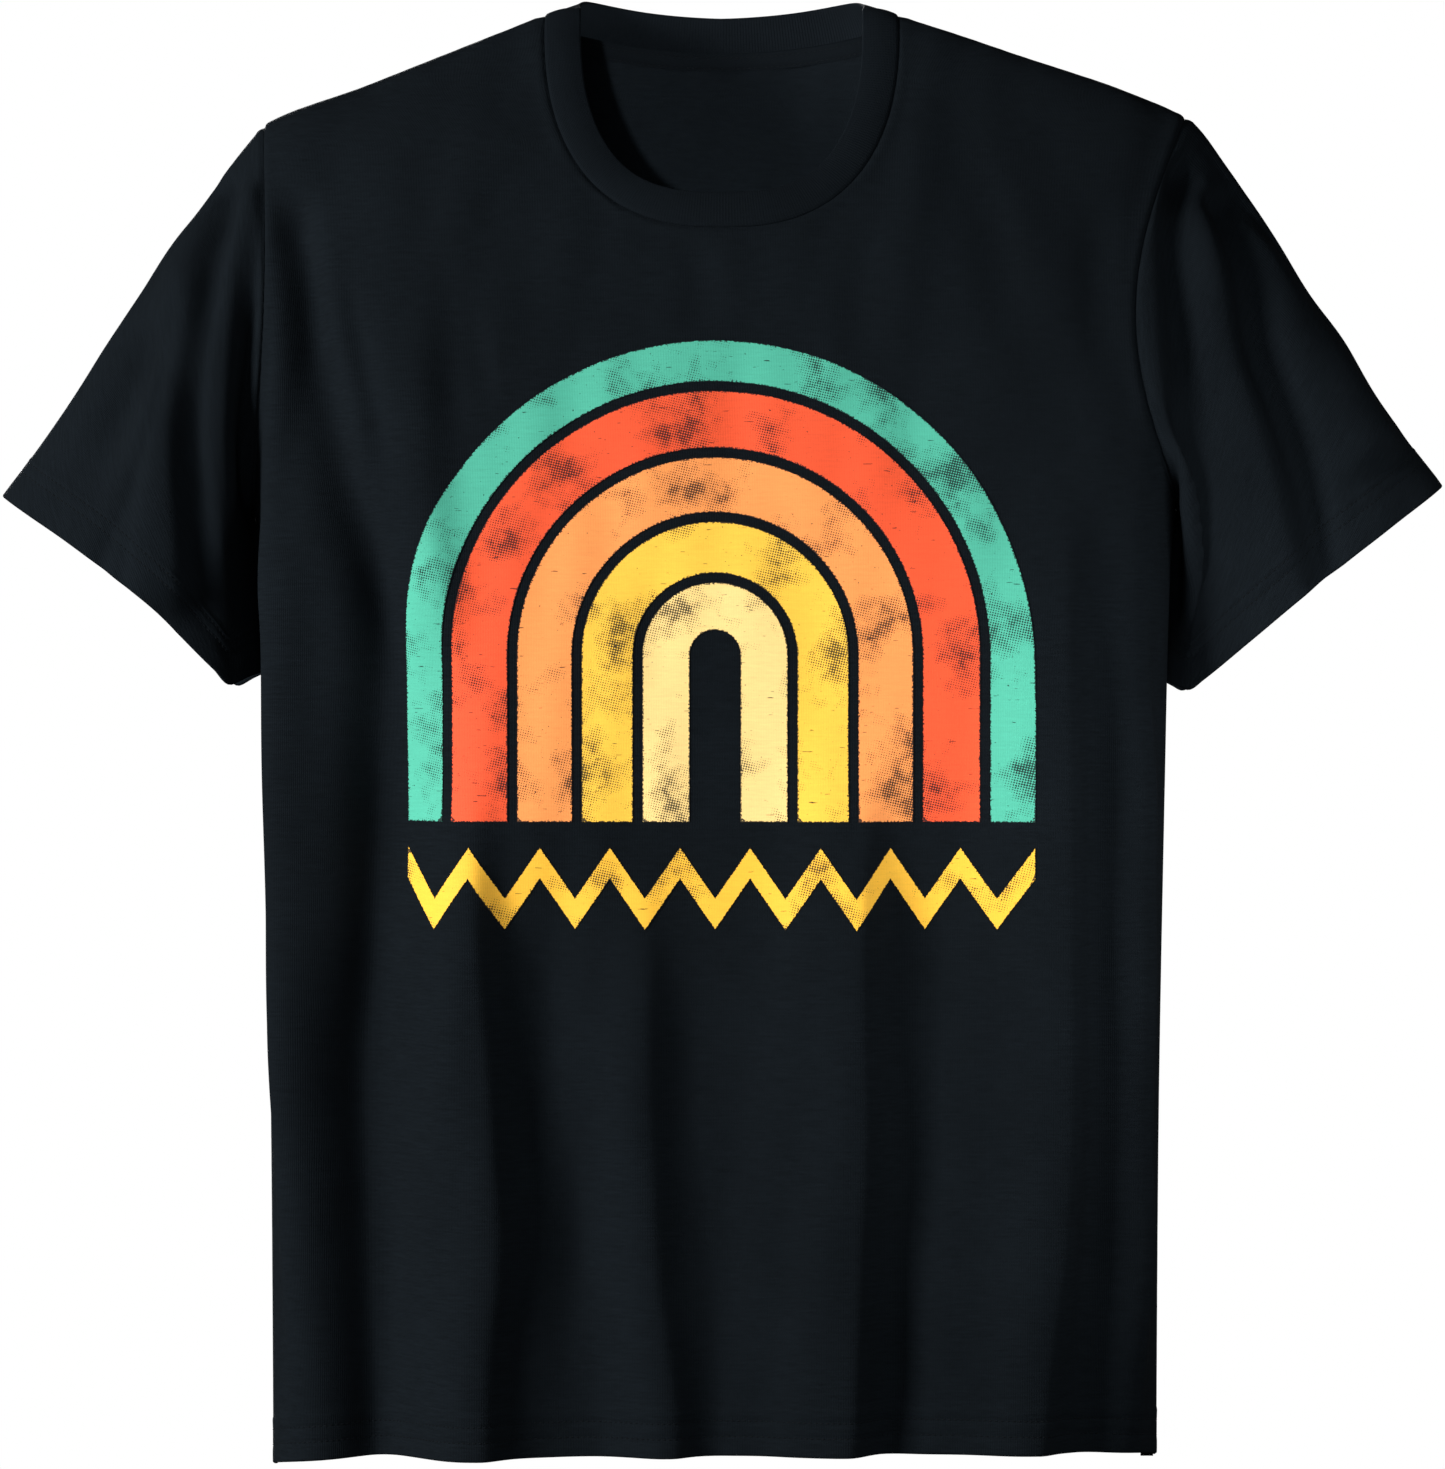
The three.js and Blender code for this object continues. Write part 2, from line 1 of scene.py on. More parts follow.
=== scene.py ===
import logging
import math
from collections.abc import Callable
from dataclasses import dataclass, field, replace
from enum import Enum

import bpy
import numpy as np
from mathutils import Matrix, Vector


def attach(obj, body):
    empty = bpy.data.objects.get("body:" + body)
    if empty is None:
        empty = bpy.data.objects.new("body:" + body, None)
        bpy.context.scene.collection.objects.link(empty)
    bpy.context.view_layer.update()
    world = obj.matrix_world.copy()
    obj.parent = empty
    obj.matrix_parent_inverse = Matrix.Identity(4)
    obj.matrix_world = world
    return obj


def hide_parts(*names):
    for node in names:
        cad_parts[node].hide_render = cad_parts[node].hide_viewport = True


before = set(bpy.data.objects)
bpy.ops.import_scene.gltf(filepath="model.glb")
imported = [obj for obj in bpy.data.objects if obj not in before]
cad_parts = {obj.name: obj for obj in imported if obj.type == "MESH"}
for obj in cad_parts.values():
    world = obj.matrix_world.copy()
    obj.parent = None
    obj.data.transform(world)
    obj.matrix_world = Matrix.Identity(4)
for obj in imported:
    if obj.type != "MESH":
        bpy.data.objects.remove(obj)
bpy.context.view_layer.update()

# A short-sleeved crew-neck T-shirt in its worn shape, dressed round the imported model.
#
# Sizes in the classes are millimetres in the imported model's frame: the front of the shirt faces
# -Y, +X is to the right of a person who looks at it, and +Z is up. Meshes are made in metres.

Array = np.ndarray
Colour = tuple[float, float, float]
Rows = list[tuple[Array, Array]]
Range = tuple[float, float]
Pairs = tuple[Range, ...]
Socket = bpy.types.NodeSocket
Piece = bpy.types.Object
Material = bpy.types.Material
NodeTree = bpy.types.NodeTree
MM = 0.001
BODY = "root"
FULL_TURN = 2 * math.pi
RIM_DISTANCE = "rim_distance"
NOISE_RANGE = (0.3, 0.7)
log = logging.getLogger("shirt")


class Face(Enum):
    """The two sides of the shirt, each with the way it faces along Y."""

    FRONT = -1
    BACK = 1


class Side(Enum):
    """The two arms, each with the way it points along X."""

    LEFT = -1
    RIGHT = 1


class Crease(Enum):
    """Profile of a fold, by the power that its flanks fall with."""

    ROUND = 2.0
    CRISP = 1.25


# Small geometry helpers


def unit(vectors: Array) -> Array:
    """Gives each vector the length one."""
    return vectors / np.maximum(np.linalg.norm(vectors, axis=-1, keepdims=True), 1e-12)


def ease(value: Array, start: float, end: float) -> Array:
    """Smooth step from 0 at start to 1 at end."""
    t = np.clip((value - start) / (end - start), 0.0, 1.0)
    return t * t * (3.0 - 2.0 * t)


def bell(value: Array, middle: float, reach: float) -> Array:
    """Bell curve that is 1 at the middle."""
    return np.exp(-(((value - middle) / reach) ** 2))


def lengths_along(lines: Array) -> Array:
    """Length from the start of each line to each of its points.

    Args:
        lines: Points, with the line's own direction on the last axis but one.

    Returns:
        Array: Lengths, with one axis fewer than the points.
    """
    steps = np.linalg.norm(np.diff(lines, axis=-2), axis=-1)
    start = np.zeros(steps.shape[:-1] + (1,))
    return np.concatenate([start, np.cumsum(steps, axis=-1)], axis=-1)


def resample(line: Array, places: Array, values: Array | None = None) -> Array:
    """Points of a line, or values that belong to its points, at given lengths from its start.

    Args:
        line: The line's points, one a row.
        places: Wanted lengths.
        values: One row of values for each point, if not the points themselves.

    Returns:
        Array: One row for each place.
    """
    along = lengths_along(line)
    columns = (line if values is None else values).T
    return np.stack([np.interp(places, along, column) for column in columns], axis=-1)


def even_line(curve: Callable[[Array], Array], cells: int, steps: int = 1200) -> Array:
    """Evenly spaced points on a curve that is given by a function of 0 to 1.

    Args:
        curve: Function that takes an array of shares and gives their points.
        cells: Number of cells between the points.
        steps: How finely the curve is traced before it is divided.

    Returns:
        Array: cells + 1 points.
    """
    shares = 0.5 - 0.5 * np.cos(np.linspace(0.0, math.pi, steps))
    trace = curve(shares)
    return resample(trace, np.linspace(0.0, lengths_along(trace)[-1], cells + 1))


def hermite(t: Array, start: Array, leave: Array, end: Array, arrive: Array) -> Array:
    """Smooth way from one place to another with a given slope at each.

    Args:
        t: Shares of the way.
        start: Place at 0.
        leave: Slope at 0, for the whole way.
        end: Place at 1.
        arrive: Slope at 1, for the whole way.

    Returns:
        Array: The place at each share.
    """
    return (
        (2 * t**3 - 3 * t**2 + 1) * start
        + (3 * t**2 - 2 * t**3) * end
        + (t**3 - 2 * t**2 + t) * leave
        + (t**3 - t**2) * arrive
    )


def signed_power(value: Array, power: float) -> Array:
    """A power of each value's size, with the value's sign."""
    return np.sign(value) * np.abs(value) ** power


def turned_with(normals: Array, outward: Array) -> Array:
    """Normals, turned over if their first rows point against the outward directions."""
    against = np.einsum("ijk,ijk->", normals[: len(outward)], outward) < 0
    return -normals if against else normals


def grid_normals(points: Array, wrapped: bool = False) -> Array:
    """Normal of each point of a grid, from its neighbours.

    Args:
        points: Rows by columns of points.
        wrapped: Whether the last column meets the first.

    Returns:
        Array: Unit normals, all on the same side of the grid.
    """
    down = np.gradient(points, axis=0)
    across = np.gradient(points, axis=1)
    if wrapped:
        across = (np.roll(points, -1, axis=1) - np.roll(points, 1, axis=1)) / 2
    return unit(np.cross(across, down))


def distance_to_line(points: Array, line: Array) -> Array:
    """Shortest distance from each point to a line of straight pieces.

    Args:
        points: Points on any grid.
        line: The line's points, one a row.

    Returns:
        Array: One distance for each point.
    """
    nearest = np.full(points.shape[:-1], np.inf)
    for start, end in zip(line[:-1], line[1:]):
        way = end - start
        share = np.clip((points - start) @ way / max(way @ way, 1e-12), 0.0, 1.0)
        gap = points - start - share[..., None] * way
        nearest = np.minimum(nearest, np.einsum("...i,...i", gap, gap))
    return np.sqrt(nearest)


# The worn form and the cut of the cloth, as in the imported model


class Stations:
    """Smooth curve through (height, value) stations that never overshoots between two of them."""

    def __init__(self, heights: list[float], values: list[float]) -> None:
        """Sorts the stations and works out the curve's slope at each.

        Args:
            heights: Height of each station.
            values: Value at each station.
        """
        order = np.argsort(heights)
        self.heights = np.asarray(heights, float)[order]
        self.values = np.asarray(values, float)[order]
        rise = np.diff(self.values) / np.diff(self.heights)
        before, after = rise[:-1], rise[1:]
        same_way = before * after > 0
        both = np.where(same_way, before + after, 1.0)
        inner = np.where(same_way, 2.0 * before * after / both, 0.0)
        self.slopes = np.concatenate([rise[:1], inner, rise[-1:]])

    def __call__(self, height: Array) -> Array:
        """Value of the curve.

        Args:
            height: Heights, on any grid.

        Returns:
            Array: One value for each height.
        """
        after = np.clip(np.searchsorted(self.heights, height), 1, len(self.heights) - 1)
        before = after - 1
        span = self.heights[after] - self.heights[before]
        t = np.clip((height - self.heights[before]) / span, 0.0, 1.0)
        leave, arrive = self.slopes[before] * span, self.slopes[after] * span
        return hermite(t, self.values[before], leave, self.values[after], arrive)


@dataclass(frozen=True)
class Section:
    """Horizontal section of the worn form: half width, and how far front and back stand off the seams."""

    height: float
    half: float
    front: float
    back: float


@dataclass
class WornForm:
    """The body shape that the cloth hangs on, as superellipse sections."""

    sections: tuple[Section, ...] = (
        Section(9, 63, 11, 44),
        Section(-3, 93, 15, 49),
        Section(-16, 125.5, 20, 55),
        Section(-40, 185.5, 29, 64),
        Section(-61.4, 239, 39, 70),
        Section(-80, 252, 48, 73),
        Section(-119, 259, 65, 77),
        Section(-180, 256, 77, 80),
        Section(-240, 243, 84, 78),
        Section(-300, 237.5, 86, 75),
        Section(-400, 235, 84, 70),
        Section(-600, 231.5, 79, 70),
        Section(-770, 230.4, 76, 71),
    )
    right_shoulder: Pairs = (
        (9, 0), (-3, 0), (-14.7, 5.8), (-25, 10), (-33.5, 14.7), (-41, 17.8), (-48, 15.5), (-57, 10.5),
        (-75, 0), (-770, 0),
    )
    power: float = 3.2
    widest: float = -119.0
    lower_shift: float = -3.5
    shift_top: float = -100.0
    shift_bottom: float = -300.0
    seam_gap: float = 0.3
    depth_to_half: float = 0.4
    trace_steps: int = 400

    def __post_init__(self) -> None:
        """Draws the curves through the sections."""
        heights = [s.height for s in self.sections]
        self.even_half = Stations(heights, [s.half for s in self.sections])
        self.right_extra = Stations(*map(list, zip(*self.right_shoulder)))
        self.depths = {
            Face.FRONT: Stations(heights, [s.front for s in self.sections]),
            Face.BACK: Stations(heights, [s.back for s in self.sections]),
        }

    def half_width(self, z: Array) -> Array:
        """Half width of the section at each height."""
        return self.even_half(z) + self.right_extra(z) / 2

    def line_middle(self, z: Array) -> Array:
        """Sideways place of the middle that the cloth's upright lines spread from."""
        return self.lower_shift * ease(-z, -self.shift_top, -self.shift_bottom)

    def middle(self, z: Array) -> Array:
        """Sideways place of the middle of the section at each height."""
        return self.line_middle(z) + self.right_extra(z) / 2

    def side(self, z: Array, side: Side) -> Array:
        """Sideways place of one end of the section at each height."""
        return self.middle(z) + side.value * self.half_width(z)

    def spread(self, z: Array) -> Array:
        """Half width that the cloth's upright lines spread over, at its widest above the armpit."""
        return self.half_width(np.minimum(z, self.widest))

    def share(self, x: Array, z: Array) -> Array:
        """Place across the section, from -1 to 1."""
        return (x - self.middle(z)) / self.half_width(z)

    def bow(self, share: Array) -> Array:
        """Depth share of a superellipse at a share of its half width."""
        return (1.0 - np.minimum(1.0, np.abs(share)) ** self.power) ** (1.0 / self.power)

    def points(self, x: Array, z: Array, face: Face) -> Array:
        """Points of the form's surface.

        Args:
            x: Places across.
            z: Heights.
            face: Front or back.

        Returns:
            Array: One point for each place.
        """
        y = self.depths[face](z) * self.bow(self.share(x, z))
        return np.stack([x, face.value * np.maximum(y, self.seam_gap / 2), z], axis=-1)

    def normals(self, points: Array, face: Face, step: float = 0.5) -> Array:
        """Outward normals of the form's surface.

        Args:
            points: Points of the surface.
            face: Front or back.
            step: Height over which slopes are measured.

        Returns:
            Array: One unit normal for each point.
        """
        x, y, z = np.moveaxis(points, -1, 0)
        half, depth = self.half_width(z), self.depths[face](z)
        across = x - self.middle(z)
        away = np.where(np.abs(y) <= self.seam_gap / 2, 0.0, np.abs(y) / depth)
        share = np.minimum(1.0, np.abs(across) / half)

        def slope(curve: Callable[[Array], Array]) -> Array:
            """Slope of a curve by height."""
            return (curve(z + step) - curve(z - step)) / (2 * step)

        sideways = np.sign(across) * share ** (self.power - 1) / half
        narrowing = share**self.power * slope(self.half_width) / half
        thinning = away**self.power * slope(self.depths[face]) / depth
        return unit(np.stack([
            sideways,
            face.value * away ** (self.power - 1) / depth,
            -narrowing - thinning - sideways * slope(self.middle),
        ], axis=-1))

    def cloth_place(self, x: Array, z: Array) -> Array:
        """Place on the flat cloth, in metres, that a pattern follows.

        Args:
            x: Places across.
            z: Heights.

        Returns:
            Array: Length round the form from its middle, and height.
        """
        shares = np.sqrt(np.linspace(0.0, 1.0, self.trace_steps))
        rim = np.stack([shares, self.depth_to_half * self.bow(shares)], axis=-1)
        share = self.share(x, z)
        round_form = np.sign(share) * np.interp(np.abs(share), shares, lengths_along(rim))
        return np.stack([round_form * self.half_width(z) * MM, z * MM], axis=-1)


@dataclass
class Cut:
    """Seam and edge lines of the shirt on the worn form."""

    form: WornForm
    neck_half: float = 93.0
    neck_top: float = -3.0
    neck_drop: dict[Face, float] = field(default_factory=lambda: {Face.FRONT: 116.0, Face.BACK: 13.5})
    neck_power: dict[Face, tuple[float, float]] = field(
        default_factory=lambda: {Face.FRONT: (2.5, 2.5), Face.BACK: (2.0, 1.1)})
    shoulder_end: dict[Side, float] = field(default_factory=lambda: {Side.LEFT: -61.4, Side.RIGHT: -57.0})
    armpit: float = -262.0
    armhole_inset: dict[tuple[Side, Face], float] = field(default_factory=lambda: {
        (Side.LEFT, Face.FRONT): 4.0,
        (Side.LEFT, Face.BACK): 9.0,
        (Side.RIGHT, Face.FRONT): 28.0,
        (Side.RIGHT, Face.BACK): 9.0,
    })
    hem: float = -758.5
    hem_tilt: float = 2.5 / 232
    hem_rise: dict[Face, float] = field(default_factory=lambda: {Face.FRONT: 10.0, Face.BACK: 4.0})
    shoulder_cells: int = 400
    hem_cells: int = 600

    def armhole_reach(self, z: Array, side: Side, face: Face) -> Array:
        """How far a panel reaches from the middle of the form beside the armhole.

        Args:
            z: Heights between the shoulder's end and the armpit.
            side: Left or right.
            face: Front or back.

        Returns:
            Array: One distance for each height.
        """
        end = self.shoulder_end[side]
        share = (end - z) / (end - self.armpit)
        top, bottom = side.value * self.form.side(end, side), self.form.half_width(self.armpit)
        return top + (bottom - top) * share - self.armhole_inset[side, face] * np.sin(math.pi * share)

    def armhole_edge(self, side: Side, face: Face, cells: int) -> Array:
        """Armhole edge of a panel, from the shoulder's end down to the armpit.

        Args:
            side: Left or right.
            face: Front or back.
            cells: Number of cells.

        Returns:
            Array: cells + 1 even points.
        """

        def curve(share: Array) -> Array:
            """Finds points of the armhole.

            Args:
                share: Shares of its height, from the top.

            Returns:
                Array: One point for each share.
            """
            z = self.shoulder_end[side] + (self.armpit - self.shoulder_end[side]) * share
            reach = self.armhole_reach(z, side, face)
            return self.form.points(self.form.line_middle(z) + side.value * reach, z, face)

        return even_line(curve, cells)

    def shoulder_edge(self, side: Side, face: Face, places: Array) -> Array:
        """Shoulder seam of a panel.

        Args:
            side: Left or right.
            face: Front or back.
            places: Shares of the seam's length, from the shoulder's end to the collar.

        Returns:
            Array: One point for each place.
        """

        def curve(share: Array) -> Array:
            """Points at shares of the shoulder's height."""
            z = self.shoulder_end[side] + (self.neck_top - self.shoulder_end[side]) * share
            return self.form.points(self.form.side(z, side), z, face)

        trace = even_line(curve, self.shoulder_cells)
        return resample(trace, places * lengths_along(trace)[-1])

    def neck_edge(self, face: Face, cells: int) -> Array:
        """Neckline of a panel, from left to right.

        Args:
            face: Front or back.
            cells: Number of cells.

        Returns:
            Array: cells + 1 even points.
        """
        across, down = self.neck_power[face]

        def curve(share: Array) -> Array:
            """Finds points of the edge.

            Args:
                share: Shares of a half turn, from left to right.

            Returns:
                Array: One point for each share.
            """
            angle = math.pi * (1.0 - share)
            x = self.neck_half * signed_power(np.cos(angle), 2.0 / across)
            z = self.neck_top - self.neck_drop[face] * np.abs(np.sin(angle)) ** (2.0 / down)
            return self.form.points(x, z, face)

        return even_line(curve, cells)

    def hem_edge(self, face: Face, places: Array) -> Array:
        """Hem of a panel.

        Args:
            face: Front or back.
            places: Shares of the hem's length, from left to right.

        Returns:
            Array: One point for each place.
        """
        form = self.form

        def curve(share: Array) -> Array:
            """Finds points of the edge.

            Args:
                share: Shares of a half turn, from left to right.

            Returns:
                Array: One point for each share.
            """
            reach = signed_power(np.cos(math.pi * (1.0 - share)), 2.0 / form.power)
            level = np.full_like(reach, self.hem)
            x = form.middle(level) + form.half_width(level) * reach
            z = level + self.hem_tilt * x + self.hem_rise[face] * form.bow(form.share(x, level))
            return form.points(x, z, face)

        trace = even_line(curve, self.hem_cells)
        return resample(trace, places * lengths_along(trace)[-1])


# Folds and the soft unevenness of the cloth


@dataclass(frozen=True)
class Fold:
    """A fold that runs along a path of (across, height) places, as seen from the front.

    A positive height is a ridge and a negative one a valley. left and right are how far its two
    flanks reach, and fade_in and fade_out the shares of the path over which it starts and ends.
    """

    path: Pairs
    height: float
    left: float
    right: float
    fade_in: float = 0.3
    fade_out: float = 0.3
    crease: Crease = Crease.ROUND
    cells: int = 36
    blunt: float = 1.6
    seen_reach: float = 3.2

    def smooth_path(self) -> Array:
        """The path as a smooth line.

        Returns:
            Array: Points of its even cells.
        """
        stops = np.array(self.path, float)
        marks = lengths_along(stops)
        places = np.linspace(0.0, marks[-1], self.cells + 1)
        slopes = np.gradient(stops, marks, axis=0)
        after = np.clip(np.searchsorted(marks, places), 1, len(marks) - 1)
        span = (marks[after] - marks[after - 1])[:, None]
        t = (places[:, None] - marks[after - 1][:, None]) / span
        return hermite(t, stops[after - 1], span * slopes[after - 1], stops[after], span * slopes[after])

    def relief(self, x: Array, z: Array) -> Array:
        """How far the fold moves the cloth outward.

        Args:
            x: Places across.
            z: Heights.

        Returns:
            Array: One distance for each place, in millimetres.
        """
        total = np.zeros_like(x)
        line = self.smooth_path()
        margin = self.seen_reach * max(self.left, self.right)
        low, high = line.min(axis=0) - margin, line.max(axis=0) + margin
        near = (x > low[0]) & (x < high[0]) & (z > low[1]) & (z < high[1])
        if not near.any():
            return total
        places = np.stack([x[near], z[near]], axis=-1)
        best = np.full(len(places), np.inf)
        offset, share = np.zeros(len(places)), np.zeros(len(places))
        for i, (start, end) in enumerate(zip(line[:-1], line[1:])):
            way = end - start
            t = np.clip((places - start) @ way / (way @ way), 0.0, 1.0)
            gap = places - start - t[:, None] * way
            squared = np.einsum("ij,ij->i", gap, gap)
            closer = squared < best
            best = np.where(closer, squared, best)
            turn = np.sign(way[0] * gap[:, 1] - way[1] * gap[:, 0])
            offset = np.where(closer, turn * np.sqrt(squared), offset)
            share = np.where(closer, (i + t) / self.cells, share)
        reach = np.where(offset > 0, self.right, self.left)
        rounded = np.sqrt(offset**2 + self.blunt**2) - self.blunt
        profile = np.exp(-((rounded / reach) ** self.crease.value))
        for from_end, fade in ((share, self.fade_in), (1.0 - share, self.fade_out)):
            if fade > 0:
                profile = profile * ease(from_end, 0.0, fade)
        total[near] = self.height * profile
        return total


Folds = tuple[Fold, ...]


@dataclass(frozen=True)
class Ripples:
    """Soft unevenness of hanging cloth: a seeded sum of long, mostly upright waves."""

    seed: int
    count: int = 16
    height: float = 0.7
    across: Range = (26.0, 120.0)
    down: Range = (80.0, 420.0)

    def relief(self, x: Array, z: Array) -> Array:
        """How far the waves move the cloth outward.

        Args:
            x: Places across.
            z: Heights.

        Returns:
            Array: One distance for each place.
        """
        rng = np.random.default_rng(self.seed)
        total = np.zeros_like(x)
        for _ in range(self.count):
            wave_x = rng.uniform(*self.across) * rng.choice((-1.0, 1.0))
            wave_z = rng.uniform(*self.down)
            total += np.sin(FULL_TURN * (x / wave_x + z / wave_z) + rng.uniform(0.0, FULL_TURN))
        return self.height * total / math.sqrt(self.count)


FRONT_FOLDS = (
    # Deep valley down the left side, with a narrow ridge outside it
    Fold(((-182, -200), (-176, -270), (-173, -330), (-178, -400), (-183, -495), (-188, -536), (-187, -620),
          (-183, -712), (-182, -775)), -24, 17, 29, fade_in=0.45, fade_out=0.0),
    Fold(((-229, -235), (-228, -340), (-227, -466), (-225, -560), (-221, -640), (-218, -775)), 13, 6, 13,
         fade_in=0.15, fade_out=0.45),
    # Ridge beside the left armhole, and the creases that run down from it
    Fold(((-229, -90), (-228, -144), (-227, -190), (-230, -222), (-231, -262), (-231, -340)), 4.5, 6, 6,
         fade_in=0.15),
    Fold(((-224, -90), (-221, -129), (-217, -144), (-212, -175), (-205, -206), (-199, -238), (-189, -268),
          (-180, -300), (-175, -331), (-172, -380)), -13, 13, 9, fade_in=0.1),
    Fold(((-194, -129), (-191, -160), (-187, -175), (-183, -191), (-176, -225), (-173, -260)), -5, 7, 7,
         crease=Crease.CRISP),
    Fold(((-164, -150), (-158, -210), (-150, -300), (-146, -360)), 7, 20, 14),
    Fold(((-142, -133), (-139.5, -176), (-135, -228)), -2.4, 8, 5),
    Fold(((-133, -148), (-125, -184), (-118, -215)), -2.2, 7, 5),
    # Second fold from the left: a broad ridge that drops into a valley
    Fold(((-131, -390), (-127, -495), (-120, -578), (-116, -640), (-122, -700), (-124, -775)), 16, 30, 12,
         fade_out=0.0),
    Fold(((-92, -420), (-90, -495), (-85, -578), (-76, -640), (-71, -700), (-70, -775)), -6, 20, 18,
         fade_out=0.0),
    # Fold left of the middle
    Fold(((-42, -440), (-41, -536), (-39, -600), (-36, -662), (-28, -720), (-26, -775)), 9.5, 18, 10,
         fade_out=0.0),
    Fold(((-8, -440), (-8, -600), (2, -700), (6, -775)), -3.5, 13, 22, fade_out=0.0),
    # Deepest fold, right of the middle
    Fold(((72, -370), (68, -495), (70, -578), (67, -640), (66, -680), (62, -775)), 15, 34, 12, fade_out=0.0),
    Fold(((108, -370), (102, -495), (99, -536), (94, -578), (90, -640), (85, -775)), -4, 10, 14, fade_out=0.0),
    # Folds down the right side
    Fold(((170, -230), (172, -320), (174, -495), (173, -620), (162, -712), (156, -775)), 14, 31, 11,
         fade_out=0.0),
    Fold(((190, -300), (189, -500), (188, -775)), -3, 7, 10, fade_out=0.0),
    Fold(((213, -270), (213, -560), (211, -775)), 12, 15, 7, fade_out=0.3),
    # Faint short folds under the collar
    Fold(((76, -112), (70, -145), (65, -180)), -1, 9, 7),
    Fold(((-11, -124), (-8, -178)), -1.6, 9, 8),
    Fold(((194, -100), (195, -200)), -2.4, 9, 8),
    Fold(((120, -60), (140, -120), (150, -190)), -2.2, 13, 10),
    Fold(((-110, -52), (-128, -100), (-140, -130)), 2.0, 12, 10),
)

BACK_FOLDS = (
    Fold(((-186, -290), (-180, -470), (-186, -620), (-182, -775)), -9, 14, 12, fade_out=0.0),
    Fold(((-148, -330), (-140, -560), (-146, -775)), 4, 18, 18, fade_out=0.0),
    Fold(((-96, -420), (-88, -600), (-92, -775)), -8, 14, 12, fade_out=0.0),
    Fold(((-34, -470), (-38, -775)), 4, 22, 20, fade_out=0.0),
    Fold(((12, -400), (20, -590), (14, -775)), -6, 13, 13, fade_out=0.0),
    Fold(((66, -450), (62, -775)), 4, 20, 20, fade_out=0.0),
    Fold(((112, -360), (120, -560), (116, -775)), -10, 14, 13, fade_out=0.0),
    Fold(((160, -330), (166, -775)), 4, 16, 16, fade_out=0.0),
    Fold(((196, -290), (190, -520), (194, -775)), -7, 13, 12, fade_out=0.0),
    Fold(((-206, -130), (-176, -220), (-150, -330)), -4.5, 12, 9),
    Fold(((206, -130), (178, -220), (156, -330)), -4.5, 9, 12),
    Fold(((-120, -70), (-70, -130), (-30, -230)), -2.6, 16, 12),
    Fold(((124, -76), (78, -140), (40, -240)), -2.6, 12, 16),
)

LEFT_SLEEVE_FOLDS = (
    # Broad ridge from the shoulder to the cuff, with a crease down its outer flank
    Fold(((-262, -105), (-270, -135), (-278, -175), (-285, -209), (-286, -245), (-287, -280)), 12, 15, 11,
         fade_out=0.4),
    Fold(((-284, -205), (-286, -245), (-287, -288), (-288, -325)), 10, 28, 15, fade_in=0.4, fade_out=0.2),
    Fold(((-273, -129), (-279, -160), (-288, -206), (-299, -245), (-310, -268), (-322, -298)),
         -2.6, 4.5, 3.5, crease=Crease.CRISP, fade_out=0.0),
    Fold(((-288, -165), (-306, -206), (-314, -228), (-322, -248)), -8, 11, 8, fade_out=0.5),
    Fold(((-298, -235), (-304, -268), (-310, -305)), -2, 3.5, 4, crease=Crease.CRISP, fade_out=0.0),
    # Narrow valleys and ridges between it and the body
    Fold(((-255, -88), (-259, -115), (-262, -138), (-266, -175), (-270, -195)), -9, 7, 6, fade_in=0.1,
         fade_out=0.5),
    Fold(((-266, -165), (-271, -200), (-273, -230), (-272, -284), (-270, -320)), -3.5, 7, 6),
    Fold(((-245, -88), (-250, -112), (-254, -136), (-257, -175), (-260, -206), (-259, -250), (-257, -284),
          (-256, -320)), 5, 6, 8, fade_in=0.06),
    Fold(((-243, -105), (-242, -150), (-242, -206), (-241, -250), (-241, -345)), -8, 8, 5, fade_in=0.35,
         fade_out=0.5),
    Fold(((-292, -120), (-330, -200), (-352, -250)), 2.5, 16, 16, fade_out=0.0),
)

RIGHT_SLEEVE_FOLDS = (
    # Valley along the armhole, steep above and with a long lit flank below
    Fold(((236, -74), (236, -110), (236.5, -140), (238, -175), (239, -215)), -11, 8, 9, fade_in=0.1,
         fade_out=0.35),
    Fold(((238, -150), (239, -206), (239.5, -240), (241, -275), (243, -300), (243, -345)), -11, 9, 16,
         fade_in=0.4, fade_out=0.3),
    # Ridge and narrow valley that run down to the cuff
    Fold(((243, -90), (250, -129), (258, -160), (265, -191), (278, -222), (289, -253), (295, -284),
          (300, -305)), 5, 16, 8, fade_in=0.1, fade_out=0.1),
    Fold(((256, -90), (264, -120), (270, -144), (276, -175), (287.5, -206), (298, -238), (306, -268),
          (312, -296)), -10, 9, 9, fade_in=0.08, fade_out=0.0),
    Fold(((254, -86), (268, -118), (292, -155), (326, -205), (350, -240)), 10, 24, 9, fade_out=0.1),
)

SLEEVE_BACK_FOLDS = (
    Fold(((250, -100), (262, -170), (268, -250), (272, -340)), -6, 10, 9, fade_out=0.0),
    Fold(((276, -130), (300, -210), (318, -300)), 4, 14, 12, fade_out=0.0),
    Fold(((300, -130), (326, -200), (344, -270)), -4, 10, 10, fade_out=0.0),
)


def mirrored(folds: Folds) -> Folds:
    """Puts folds on the other side of the shirt.

    Args:
        folds: The folds.

    Returns:
        Folds: Their mirror images.
    """
    return tuple(
        replace(fold, path=tuple((-x, z) for x, z in fold.path), left=fold.right, right=fold.left)
        for fold in folds
    )


def folded(folds: Folds, x: Array, z: Array) -> Array:
    """Relief of several folds together at each place."""
    return sum((fold.relief(x, z) for fold in folds), np.zeros_like(x))


